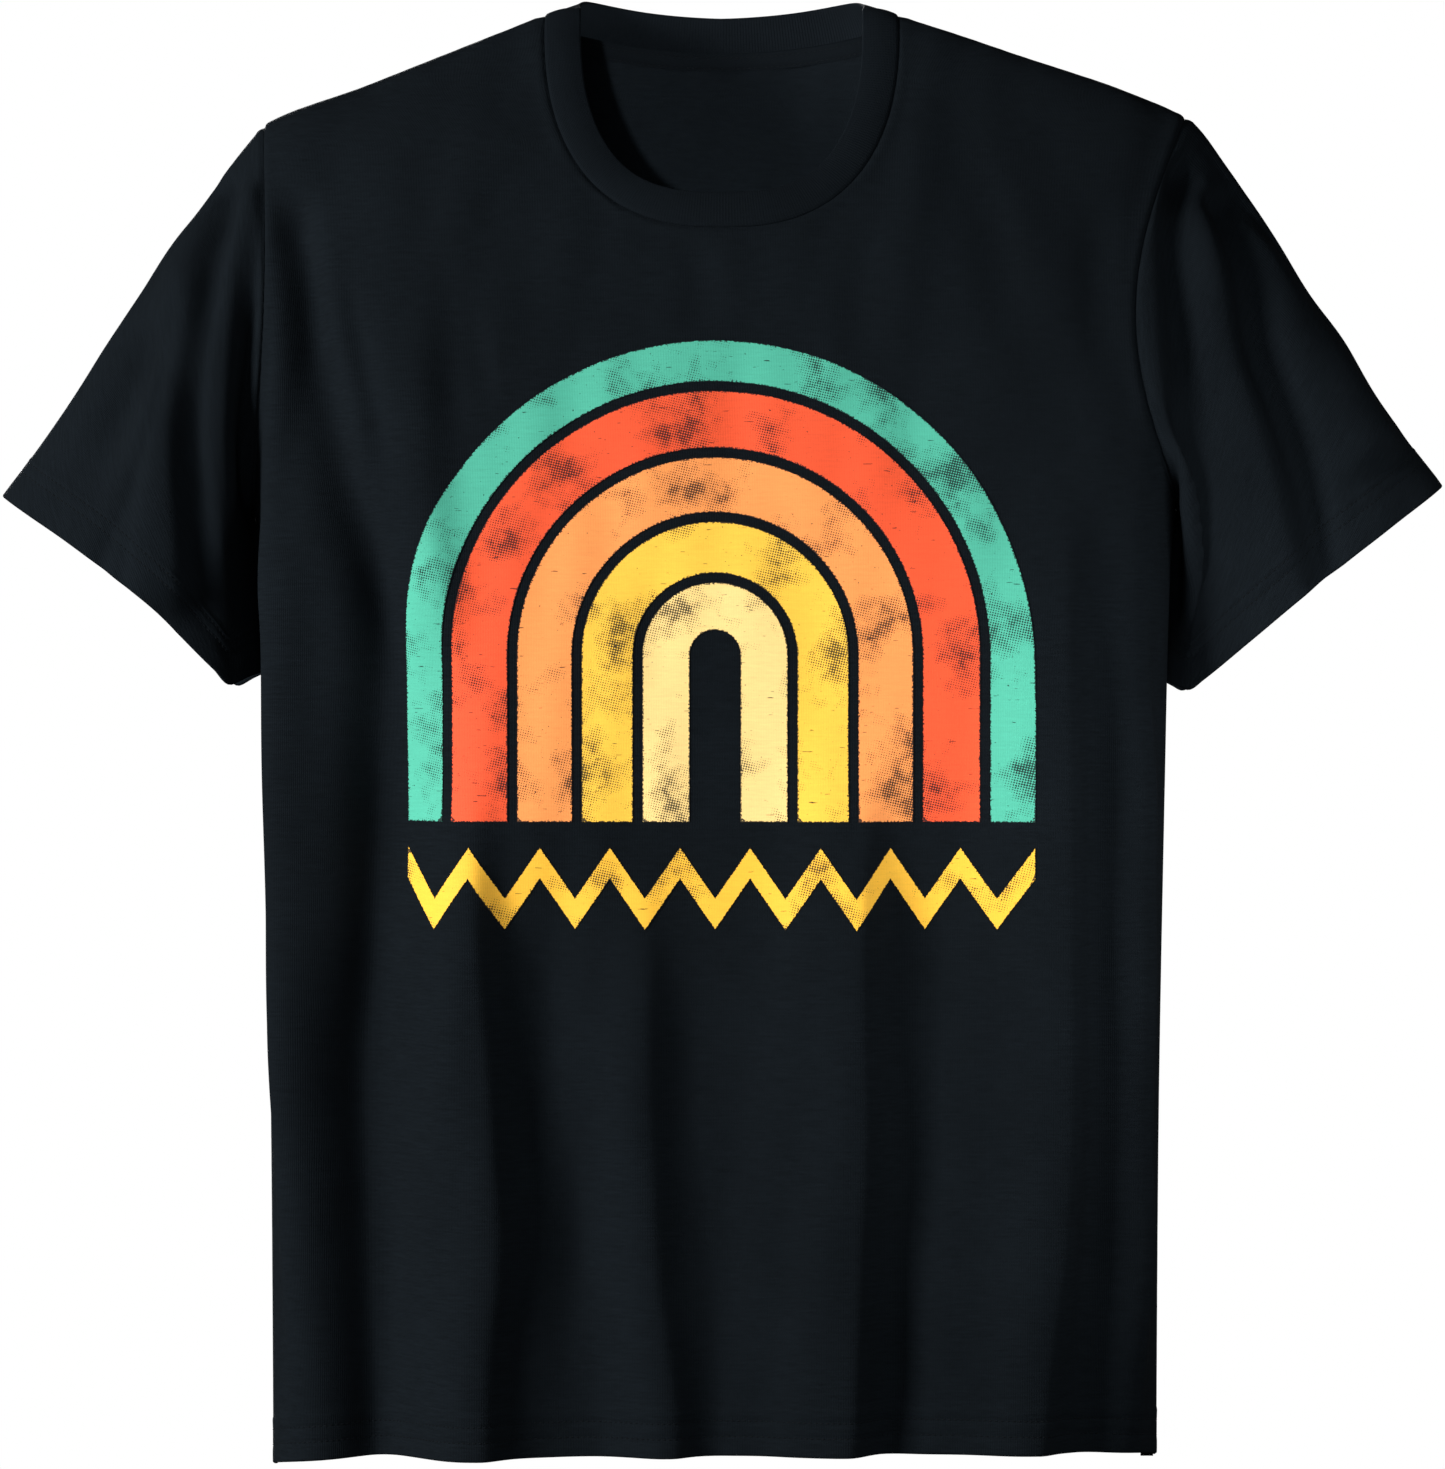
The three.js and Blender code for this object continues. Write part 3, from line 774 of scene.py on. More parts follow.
@dataclass(frozen=True)
class SeamPull:
    """How a sewn seam draws the cloth in, lifts it over the allowance and puckers it."""

    dip: float = 0.7
    dip_reach: float = 1.0
    lift: float = 0.3
    lift_place: float = 3.6
    lift_reach: float = 1.8
    pucker: float = 0.14
    pucker_reach: float = 6.0
    pucker_wave: float = 8.5
    wander: float = 3.0
    wander_height: float = 13.0

    def relief(self, distance: Array, points: Array) -> Array:
        """Relief of the cloth beside a seam.

        Args:
            distance: Distance of each point from the seam.
            points: The points themselves.

        Returns:
            Array: How far each point moves outward.
        """
        x, z = points[..., 0], points[..., 2]
        along = x + z + self.wander * np.sin(z / self.wander_height)
        wave = np.sin(FULL_TURN * along / self.pucker_wave)
        shape = self.lift * bell(distance, self.lift_place, self.lift_reach)
        shape -= self.dip * bell(distance, 0.0, self.dip_reach)
        return shape + self.pucker * wave * np.exp(-distance / self.pucker_reach)


# Meshes


def grid_corners(rows: int, columns: int, wrap_rows: bool, wrap_columns: bool) -> Array:
    """Row and column of the four corners of each cell of a grid.

    Args:
        rows: Number of rows of points.
        columns: Number of columns of points.
        wrap_rows: Whether the last row meets the first.
        wrap_columns: Whether the last column meets the first.

    Returns:
        Array: Cells by four corners by (row, column), not yet wrapped round.
    """
    j, i = np.meshgrid(
        np.arange(rows if wrap_rows else rows - 1),
        np.arange(columns if wrap_columns else columns - 1),
        indexing="ij",
    )
    corners = [(j, i), (j + 1, i), (j + 1, i + 1), (j, i + 1)]
    return np.stack([np.stack([a.ravel(), b.ravel()], axis=-1) for a, b in corners], axis=1)


def make_piece(name: str, points: Array, faces: Array, uv: Array, smooth_angle: float = 50.0) -> Piece:
    """Makes a closed mesh with its faces pointing out.

    Args:
        name: The piece's name.
        points: Corners in millimetres.
        faces: Corner numbers of each face.
        uv: Place on the cloth of each corner of each face, in metres.
        smooth_angle: Edges sharper than this many degrees stay sharp.

    Returns:
        Piece: The new piece, at the origin.
    """
    a, b, c, d = (points[faces[:, k]] for k in range(4))
    volume = np.einsum("ij,ij->", a, np.cross(b, c)) + np.einsum("ij,ij->", a, np.cross(c, d))
    if volume < 0:
        faces, uv = faces[:, ::-1], uv[:, ::-1]
    mesh = bpy.data.meshes.new(name)
    mesh.from_pydata((points * MM).tolist(), [], faces.tolist())
    layer = mesh.uv_layers.new(name="cloth")
    layer.data.foreach_set("uv", np.ascontiguousarray(uv, np.float32).ravel())
    mesh.polygons.foreach_set("use_smooth", np.ones(len(faces), bool))
    mesh.set_sharp_from_angle(angle=math.radians(smooth_angle))
    mesh.update()
    piece = bpy.data.objects.new(name, mesh)
    bpy.context.scene.collection.objects.link(piece)
    return piece


def shell_piece(name: str, outer: Array, normals: Array, thickness: float, uv: Array,
                wrapped: bool = False) -> Piece:
    """Makes a sheet of cloth with a thickness from the grid of its outer face.

    Args:
        name: The piece's name.
        outer: Rows by columns of points of the outer face.
        normals: Unit normals that point out of that face.
        thickness: How far the inner face lies behind it.
        uv: Places on the cloth. A wrapped grid has one column more of them.
        wrapped: Whether the last column meets the first.

    Returns:
        Piece: The new piece.
    """
    rows, columns = outer.shape[:2]
    inner = outer - normals * thickness
    corners = grid_corners(rows, columns, False, wrapped)
    number = corners[..., 0] * columns + corners[..., 1] % columns
    places = uv[corners[..., 0], corners[..., 1]]
    inside = number[:, ::-1] + rows * columns
    faces, uvs = [number, inside], [places, places[:, ::-1]]

    def rim(line: Array, line_uv: Array) -> None:
        """Closes the sheet along one edge.

        Args:
            line: Numbers of the edge's points.
            line_uv: Their places on the cloth.
        """
        edge = np.stack([line[:-1], line[1:]], axis=-1)
        faces.append(np.concatenate([edge[:, ::-1], edge + rows * columns], axis=1))
        edge_uv = np.stack([line_uv[:-1], line_uv[1:]], axis=1)
        uvs.append(np.concatenate([edge_uv[:, ::-1], edge_uv], axis=1))

    count = columns + 1 if wrapped else columns
    across = np.arange(count)
    rim(across % columns, uv[0, :count])
    rim(((rows - 1) * columns + across % columns)[::-1], uv[-1, :count][::-1])
    if not wrapped:
        down = np.arange(rows) * columns
        rim(down[::-1], uv[::-1, 0])
        rim(down + columns - 1, uv[:, -1])
    points = np.concatenate([outer.reshape(-1, 3), inner.reshape(-1, 3)])
    return make_piece(name, points, np.concatenate(faces), np.concatenate(uvs))


def band_piece(name: str, rings: Array, uv: Array, closed: bool) -> Piece:
    """Makes a band from a closed cross-section that runs along a line.

    Args:
        name: The piece's name.
        rings: Places along by corners of the cross-section, as points.
        uv: Places on the cloth, with one row and one column more where the band wraps.
        closed: Whether the band's end meets its start.

    Returns:
        Piece: The new piece.
    """
    count, corners_round = rings.shape[:2]
    corners = grid_corners(count, corners_round, closed, True)
    number = (corners[..., 0] % count) * corners_round + corners[..., 1] % corners_round
    faces, places = [number], [uv[corners[..., 0], corners[..., 1]]]
    if not closed:
        half = corners_round // 2
        for first, flip in ((0, False), ((count - 1) * corners_round, True)):
            left = first + np.arange(half)
            right = first + corners_round - 1 - np.arange(half)
            cap = np.stack([left[:-1], right[:-1], right[1:], left[1:]], axis=-1)
            faces.append(cap if flip else cap[:, ::-1])
            row = uv[0 if first == 0 else count - 1, 0]
            places.append(np.broadcast_to(row, (len(cap), 4, 2)))
    return make_piece(name, rings.reshape(-1, 3), np.concatenate(faces), np.concatenate(places))


@dataclass(frozen=True)
class TurnUp:
    """A folded-under hem: cloth that bends round at its edge and runs up inside."""

    height: float
    stitch_rows: tuple[float, ...]
    bend: float = 1.05
    bend_cells: int = 7
    swell: float = 0.35
    swell_rise: float = 1.6
    stitch_dip: float = 0.4
    stitch_reach: float = 0.8
    beside_bend: tuple[float, ...] = (2.4, 4.5, 7.0)
    beside_top: tuple[float, ...] = (-0.8, 0.0, 1.0, 4.0)
    least_step: float = 0.3

    def heights(self) -> Array:
        """Heights above the hem of the rows of cloth beside it.

        Returns:
            Array: The heights, from the top down.
        """
        marks = {self.bend, *self.beside_bend} | {self.height + step for step in self.beside_top}
        for row in self.stitch_rows:
            marks |= {row - self.stitch_reach, row, row + self.stitch_reach}
        ordered = sorted(marks, reverse=True)
        pairs = zip(ordered, [*ordered[1:], 0.0])
        return np.array([mark for mark, after in pairs if mark - after > self.least_step])

    def relief(self, height: Array) -> Array:
        """Relief of the outer cloth: swollen by the fold, dipped by the stitches.

        Args:
            height: Heights above the hem.

        Returns:
            Array: How far the cloth stands out at each height.
        """
        shape = self.swell * ease(self.height + 1.0 - height, 0.0, self.swell_rise)
        for row in self.stitch_rows:
            shape = shape - self.stitch_dip * bell(height, row, self.stitch_reach)
        return shape

    def fold(self, outer: Array, normals: Array, uv: Array) -> tuple[Array, Array]:
        """Carries a cloth's outer face round its hem and up inside.

        Args:
            outer: Rows of the outer face, ending one bend radius above the hem.
            normals: Its unit normals.
            uv: Its places on the cloth, with one column more where the cloth is wrapped.

        Returns:
            tuple: The longer grid of points, and its places on the cloth.
        """
        down = unit(outer[-1] - outer[-2])
        angles = np.linspace(0.0, math.pi, self.bend_cells + 1)[1:, None, None]
        bend = outer[-1] + self.bend * ((np.cos(angles) - 1.0) * normals[-1] + np.sin(angles) * down)
        inside_rows = [k for k, height in enumerate(reversed(self.heights())) if height <= self.height][1:]
        inside = np.stack([outer[-1 - k] - 2 * self.bend * normals[-1 - k] for k in inside_rows])
        grid = np.concatenate([outer, bend, inside])
        extra = len(grid) - len(outer)
        step = self.height / extra * MM
        tail = uv[-1] - np.arange(1, extra + 1)[:, None, None] * np.array([0.0, step])
        return grid, np.concatenate([uv, tail])

    def sheet(self, name: str, outer: Array, outward: Array, above_hem: Array, uv: Array, thickness: float,
              wrapped: bool = False) -> tuple[Piece, Rows]:
        """Makes a sheet of cloth with its hem turned up.

        Args:
            name: The piece's name.
            outer: Rows by columns of points of the outer face.
            outward: Directions that point out of it.
            above_hem: Height of each point above the hem.
            uv: Places on the cloth. A wrapped grid has one column more of them.
            thickness: How thick the cloth is.
            wrapped: Whether the last column meets the first.

        Returns:
            tuple: The piece, and the points and normals of its cloth along each stitch row.
        """
        facing = turned_with(grid_normals(outer, wrapped), outward)
        numbers = [int(np.argmin(np.abs(above_hem[:, 0] - height))) for height in self.stitch_rows]
        grid, places = self.fold(outer, facing, uv)
        out = turned_with(grid_normals(grid, wrapped), facing)
        piece = shell_piece(name, grid, out, thickness, places, wrapped)
        return piece, [(outer[number], facing[number]) for number in numbers]


SEAM_ROWS = np.array([0.0, 0.5, 1.1, 1.9, 2.9, 4.2, 6.0, 8.5, 12.0, 16.0])


def seam_places(length: float, cells: int, both_ends: bool) -> Array:
    """Places along a length, close together beside a seam and even away from it.

    Args:
        length: The whole length.
        cells: Number of cells.
        both_ends: Whether the far end is a seam too.

    Returns:
        Array: cells + 1 lengths from the start.
    """
    near = len(SEAM_ROWS) - 1
    if not both_ends:
        return np.concatenate([SEAM_ROWS, np.linspace(SEAM_ROWS[-1], length, cells - near + 1)[1:]])
    middle = np.linspace(SEAM_ROWS[-1], length - SEAM_ROWS[-1], cells - 2 * near + 1)
    return np.concatenate([SEAM_ROWS[:-1], middle, (length - SEAM_ROWS[:-1])[::-1]])


# Finishes


class Graph:
    """Adds and links the nodes of one shader tree."""

    def __init__(self, tree: NodeTree) -> None:
        """Starts on an empty tree."""
        self.tree = tree
        tree.nodes.clear()

    def add(self, kind: str, inputs: dict[object, object] | None = None, **settings: object) -> bpy.types.Node:
        """Adds a node.

        Args:
            kind: The node's type.
            inputs: Inputs by name or number, each with the socket to link or the value to set.
            **settings: The node's options.

        Returns:
            bpy.types.Node: The new node.
        """
        node = self.tree.nodes.new(kind)
        for setting, value in settings.items():
            setattr(node, setting, value)
        for place, value in (inputs or {}).items():
            if isinstance(value, Socket):
                self.tree.links.new(value, node.inputs[place])
            else:
                node.inputs[place].default_value = value
        return node

    def math(self, operation: str, *values: object) -> Socket:
        """Result of a Math node on numbers or sockets."""
        return self.add("ShaderNodeMath", dict(enumerate(values)), operation=operation).outputs[0]

    def joined(self, operation: str, values: tuple[object, ...]) -> Socket:
        """Result of one operation on two or more values in turn.

        Args:
            operation: The Math node's operation.
            values: Numbers or sockets.

        Returns:
            Socket: The result.
        """
        result = values[0]
        for value in values[1:]:
            result = self.math(operation, result, value)
        return result

    def times(self, *values: object) -> Socket:
        """Product of numbers or sockets."""
        return self.joined("MULTIPLY", values)

    def plus(self, *values: object) -> Socket:
        """Sum of numbers or sockets."""
        return self.joined("ADD", values)

    def minus(self, first: object, second: object) -> Socket:
        """Difference of numbers or sockets."""
        return self.math("SUBTRACT", first, second)

    def scaled(self, vector: Socket, across: float, down: float) -> Socket:
        """A vector with its first two parts multiplied."""
        scale = (across, down, 1.0)
        return self.add("ShaderNodeVectorMath", {0: vector, 1: scale}, operation="MULTIPLY").outputs[0]

    def parts(self, vector: Socket) -> tuple[Socket, Socket]:
        """The first two parts of a vector."""
        node = self.add("ShaderNodeSeparateXYZ", {0: vector})
        return node.outputs[0], node.outputs[1]

    def noise(self, vector: Socket, scale: float, detail: float = 2.0, roughness: float = 0.5) -> Socket:
        """Value of a noise texture, from about 0.2 to 0.8."""
        inputs = {"Vector": vector, "Scale": scale, "Detail": detail, "Roughness": roughness}
        return self.add("ShaderNodeTexNoise", inputs).outputs[0]

    def remap(self, value: object, low: float, high: float, to_low: float, to_high: float) -> Socket:
        """A value moved from one range to another and held inside it."""
        inputs = dict(enumerate((value, low, high, to_low, to_high)))
        return self.add("ShaderNodeMapRange", inputs).outputs[0]

    def stretched(self, noise: Socket, low: float, high: float) -> Socket:
        """A noise value stretched to run from low to high."""
        return self.remap(noise, *NOISE_RANGE, low, high)

    def blend(self, mask: object, first: object, second: object, kind: str = "MIX") -> Socket:
        """Colour that goes from the first to its mix with the second as the mask goes from 0 to 1."""
        inputs = {0: mask, 6: first, 7: second}
        return self.add("ShaderNodeMix", inputs, data_type="RGBA", blend_type=kind).outputs[2]

    def tinted(self, colour: Colour, value: Socket) -> Socket:
        """A colour made lighter or darker by a value round one."""
        return self.blend(1.0, (*colour, 1.0), value, "MULTIPLY")

    def group(self, tree: NodeTree, **values: object) -> Socket:
        """First output of a shared group with these inputs."""
        return self.add("ShaderNodeGroup", values, node_tree=tree).outputs[0]


def shared_group(name: str, numbers: tuple[str, ...], output: str) -> tuple[Graph, list[Socket]]:
    """Starts a shader node group with a vector and named numbers for inputs.

    Args:
        name: The group's name.
        numbers: Names of its number inputs.
        output: Name of its one output, a number.

    Returns:
        tuple: The group's graph, and the vector and the numbers that it is given.
    """
    graph = Graph(bpy.data.node_groups.new(name, "ShaderNodeTree"))
    sockets = graph.tree.interface
    sockets.new_socket("Vector", in_out="INPUT", socket_type="NodeSocketVector")
    for number in numbers:
        sockets.new_socket(number, in_out="INPUT", socket_type="NodeSocketFloat")
    sockets.new_socket(output, in_out="OUTPUT", socket_type="NodeSocketFloat")
    return graph, list(graph.add("NodeGroupInput").outputs)[: 1 + len(numbers)]


def knit_group() -> NodeTree:
    """Relief of plain knit stitches: upright wales of V-shaped loops.

    Returns:
        NodeTree: The group.
    """
    graph, (vector, width, height) = shared_group("knit_relief", ("Wale", "Course"), "Height")
    x, y = graph.parts(vector)
    wale = graph.math("FRACT", graph.math("DIVIDE", x, width))
    edge = graph.times(graph.math("ABSOLUTE", graph.minus(wale, 0.5)), 2.0)
    course = graph.plus(graph.math("DIVIDE", y, height), graph.times(edge, 0.5))
    loop = graph.math("SINE", graph.times(course, FULL_TURN))
    rounded = graph.minus(1.0, graph.times(edge, edge))
    shape = graph.plus(graph.times(rounded, 0.65), graph.times(rounded, 0.35, loop))
    graph.add("NodeGroupOutput", {"Height": shape})
    return graph.tree


def slub_group() -> NodeTree:
    """Brightness round one of yarn that is thicker and thinner along its courses.

    Returns:
        NodeTree: The group.
    """
    graph, (vector, amount) = shared_group("slub_streaks", ("Amount",), "Value")
    long_streaks = graph.noise(graph.scaled(vector, 70.0, 760.0), 1.0, 2.0, 0.6)
    short_streaks = graph.noise(graph.scaled(vector, 230.0, 1300.0), 1.0, 2.0, 0.6)
    both = graph.plus(graph.times(long_streaks, 0.6), graph.times(short_streaks, 0.4))
    offset = graph.stretched(both, -1.0, 1.0)
    graph.add("NodeGroupOutput", {"Value": graph.plus(1.0, graph.times(offset, amount))})
    return graph.tree


def wear_group(dots_a_metre: float = 560.0, turn: float = math.radians(32.0)) -> NodeTree:
    """Mask of worn print: halftone dots, specks, scratches and a nibbled rim show the cloth.

    Args:
        dots_a_metre: Halftone dots on a metre of cloth.
        turn: Angle of the rows of dots.

    Returns:
        NodeTree: The group.
    """
    graph, (vector, edge, amount) = shared_group("print_wear", ("Edge", "Amount"), "Mask")
    patches = graph.remap(graph.noise(vector, 26.0, 4.0, 0.62), 0.5, 0.66, 0.0, 1.0)
    x, y = graph.parts(vector)
    waves = []
    for cosine, sine in ((math.cos(turn), math.sin(turn)), (-math.sin(turn), math.cos(turn))):
        along = graph.plus(graph.times(x, cosine), graph.times(y, sine))
        waves.append(graph.math("SINE", graph.times(along, FULL_TURN * dots_a_metre)))
    limit = graph.minus(1.02, graph.times(patches, amount, 1.5))
    dots = graph.math("GREATER_THAN", graph.times(*waves), limit)
    speck_limit = graph.minus(0.735, graph.times(patches, 0.05))
    specks = graph.math("GREATER_THAN", graph.noise(vector, 620.0), speck_limit)
    scratch_noise = graph.noise(graph.scaled(vector, 95.0, 900.0), 1.0, 2.0, 0.55)
    scratches = graph.math("GREATER_THAN", scratch_noise, 0.715)
    nibble = graph.remap(graph.noise(vector, 900.0, 2.0, 0.6), 0.4, 0.75, 0.0, 1.1)
    rim = graph.math("LESS_THAN", edge, nibble)
    graph.add("NodeGroupOutput", {"Mask": graph.joined("MAXIMUM", (dots, specks, scratches, rim))})
    return graph.tree


@dataclass
class Groups:
    """The node groups that several finishes share, made once."""

    knit: NodeTree = field(default_factory=knit_group)
    slub: NodeTree = field(default_factory=slub_group)
    wear: NodeTree = field(default_factory=wear_group)


class Surface:
    """A material under way, with the places on the cloth and in the shirt that its patterns follow."""

    def __init__(self, name: str) -> None:
        """Starts the material.

        Args:
            name: The material's name.
        """
        self.material = bpy.data.materials.new(name)
        self.material.use_nodes = True
        self.graph = Graph(self.material.node_tree)
        places = self.graph.add("ShaderNodeTexCoord")
        self.cloth, self.place = places.outputs["UV"], places.outputs["Object"]

    def finish(self, colour: Socket, roughness: Socket, height: Socket, depth: float,
               gloss: float) -> Material:
        """Adds the shader.

        Args:
            colour: The base colour.
            roughness: The roughness.
            height: The relief, on any scale.
            depth: Millimetres of relief for a height of one.
            gloss: The specular level.

        Returns:
            Material: The finished material.
        """
        bump = self.graph.add("ShaderNodeBump", {"Distance": depth * MM, "Height": height})
        shader = self.graph.add("ShaderNodeBsdfPrincipled", {
            "Base Color": colour,
            "Roughness": roughness,
            "Normal": bump.outputs[0],
            "Specular IOR Level": gloss,
        })
        self.graph.add("ShaderNodeOutputMaterial", {"Surface": shader.outputs[0]})
        return self.material


@dataclass(frozen=True)
class KnitFinish:
    """Black cotton knit: jersey for the panels and sleeves, rib for the collar.

    Each noise has its scale, detail and roughness.
    """

    name: str
    colour: Colour
    wale: float = 0.85
    course: float = 0.7
    relief: float = 0.22
    slub: float = 0.26
    mottle: float = 0.1
    roughness: float = 0.92
    uneven: float = 0.06
    gloss: float = 0.04
    # Painted shade from the knit relief: colour share in the knit's hollows and on its loops
    knit_painted_shade: Range = (0.84, 1.08)
    mottle_noise: tuple[float, ...] = (11.0, 3.0, 0.55)
    fibre_noise: tuple[float, ...] = (2400.0, 2.0, 0.7)
    fibre_height: float = 0.5
    slub_height: float = 0.6

    def material(self, groups: Groups) -> Material:
        """Builds the knit's material.

        Args:
            groups: The shared node groups.

        Returns:
            Material: The finished material.
        """
        surface = Surface(self.name)
        graph, cloth = surface.graph, surface.cloth
        slub = graph.group(groups.slub, Vector=cloth, Amount=self.slub)
        patches = graph.noise(surface.place, *self.mottle_noise)
        mottle = graph.stretched(patches, 1.0 - self.mottle, 1.0 + self.mottle)
        knit = graph.group(groups.knit, Vector=cloth, Wale=self.wale * MM, Course=self.course * MM)
        # Painted shade: the colour is darkened in the hollows of the knit relief and a little lightened on its
        # loops; the slub streaks and mottle are the yarn's own tone
        shade = graph.times(slub, mottle, graph.remap(knit, 0.0, 1.0, *self.knit_painted_shade))
        fibre = graph.noise(cloth, *self.fibre_noise)
        rough = graph.stretched(fibre, self.roughness - self.uneven, self.roughness + self.uneven)
        height = graph.plus(
            knit, graph.times(fibre, self.fibre_height), graph.times(slub, self.slub_height))
        return surface.finish(graph.tinted(self.colour, shade), rough, height, self.relief, self.gloss)


@dataclass(frozen=True)
class InkFinish:
    """Screen-printed ink that lies on the knit and has worn through in places."""

    name: str
    colour: Colour
    cloth: KnitFinish
    wear: float = 0.85
    slub: float = 0.07
    opaque: float = 0.93
    roughness: float = 0.74
    relief: float = 0.14
    gloss: float = 0.3
    # Painted shade from the knit relief under the ink: colour share in its hollows and on its loops
    knit_painted_shade: Range = (0.9, 1.03)

    def material(self, groups: Groups) -> Material:
        """Builds the ink's material.

        Args:
            groups: The shared node groups.

        Returns:
            Material: The finished material.
        """
        surface, below = Surface(self.name), self.cloth
        graph, cloth = surface.graph, surface.cloth
        edge = graph.add("ShaderNodeAttribute", attribute_name=RIM_DISTANCE)
        mask = graph.group(groups.wear, Vector=cloth, Edge=edge.outputs["Fac"], Amount=self.wear)
        slub = graph.group(groups.slub, Vector=cloth, Amount=self.slub)
        knit = graph.group(groups.knit, Vector=cloth, Wale=below.wale * MM, Course=below.course * MM)
        # Painted shade: the ink's colour is darkened where the knit below it is low and lightened where it is
        # high
        ink = graph.tinted(self.colour, graph.times(slub, graph.remap(knit, 0.0, 1.0, *self.knit_painted_shade)))
        colour = graph.blend(graph.times(mask, self.opaque), ink, (*below.colour, 1.0))
        rough = graph.remap(mask, 0.0, 1.0, self.roughness, below.roughness)
        height = graph.minus(graph.times(knit, 0.5), mask)
        return surface.finish(colour, rough, height, self.relief, self.gloss)


@dataclass(frozen=True)
class ThreadFinish:
    """Twisted sewing thread, a little glossier than the cloth."""

    name: str
    colour: Colour
    twist: float = 0.5
    relief: float = 0.05
    gloss: float = 0.08
    # Painted shade and highlight: colour share in the thread's twist grooves and on its ridges
    shade: Range = (0.8, 1.2)
    roughness: Range = (0.55, 0.68)

    def material(self) -> Material:
        """Builds the thread's material.

        Returns:
            Material: The finished material.
        """
        surface = Surface(self.name)
        graph = surface.graph
        slant = graph.plus(*graph.parts(surface.cloth))
        twist = graph.math("SINE", graph.times(slant, FULL_TURN / (self.twist * MM)))
        # Painted shade: the colour follows the twist relief, darker in its grooves and lighter on its ridges
        colour = graph.tinted(self.colour, graph.remap(twist, -1.0, 1.0, *self.shade))
        rough = graph.remap(twist, -1.0, 1.0, *self.roughness)
        return surface.finish(colour, rough, twist, self.relief, self.gloss)


@dataclass(frozen=True)
class TwillFinish:
    """Woven tape with fine slanting ribs."""

    name: str
    colour: Colour
    rib: float = 0.9
    relief: float = 0.12
    gloss: float = 0.04
    # Painted shade and highlight: colour share in the twill's grooves and on its ribs
    rib_painted_shade: Range = (0.8, 1.15)
    uneven_shade: Range = (0.9, 1.1)
    uneven_noise: tuple[float, ...] = (900.0, 2.0, 0.6)
    roughness: Range = (0.8, 0.95)

    def material(self) -> Material:
        """Builds the tape's material.

        Returns:
            Material: The finished material.
        """
        surface = Surface(self.name)
        graph = surface.graph
        slant = graph.plus(*graph.parts(surface.cloth))
        wave = graph.math("SINE", graph.times(slant, FULL_TURN / (self.rib * MM)))
        uneven = graph.noise(surface.cloth, *self.uneven_noise)
        # Painted shade: the colour follows the twill rib relief, darker in its grooves and lighter on its ribs;
        # the uneven noise is the tape's own tone
        ribs = graph.remap(wave, -1.0, 1.0, *self.rib_painted_shade)
        shade = graph.times(ribs, graph.stretched(uneven, *self.uneven_shade))
        rough = graph.stretched(uneven, *self.roughness)
        return surface.finish(graph.tinted(self.colour, shade), rough, wave, self.relief, self.gloss)


JERSEY = KnitFinish("black_jersey", (0.0056, 0.0080, 0.0104))
RIB = KnitFinish("black_rib", (0.0051, 0.0073, 0.0096), wale=1.55, course=0.8, slub=0.12)
THREAD = ThreadFinish("black_thread", (0.0036, 0.0051, 0.0066))
TWILL = TwillFinish("black_tape", (0.0046, 0.0066, 0.0086))

# Places that each cuff's edge passes, seen from the front, from its outer corner to its inner end
LEFT_CUFF = (
    (-376.0, -255.0), (-318.6, -294.6), (-286.0, -322.4), (-263.4, -345.8), (-255.9, -353.7), (-247.6, -349.5),
    (-240.6, -346.0),
)
RIGHT_CUFF = (
    (377.0, -250.0), (312.3, -299.4), (275.0, -330.4), (250.3, -351.1), (242.7, -356.3), (238.0, -353.8),
    (233.6, -350.5),
)


def dressed(piece: Piece, material: Material, slot: str, *nodes: str) -> Piece:
    """Gives a piece its finish and its place in the model.

    Args:
        piece: The finished piece.
        material: Its material.
        slot: The record's material slot.
        nodes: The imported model's nodes that it stands for.

    Returns:
        Piece: The same piece.
    """
    piece.data.materials.append(material)
    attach(piece, BODY)
    if nodes:
        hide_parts(*nodes)
    log.info("%s: %d faces, slot %s", piece.name, len(piece.data.polygons), slot)
    return piece


# The pieces


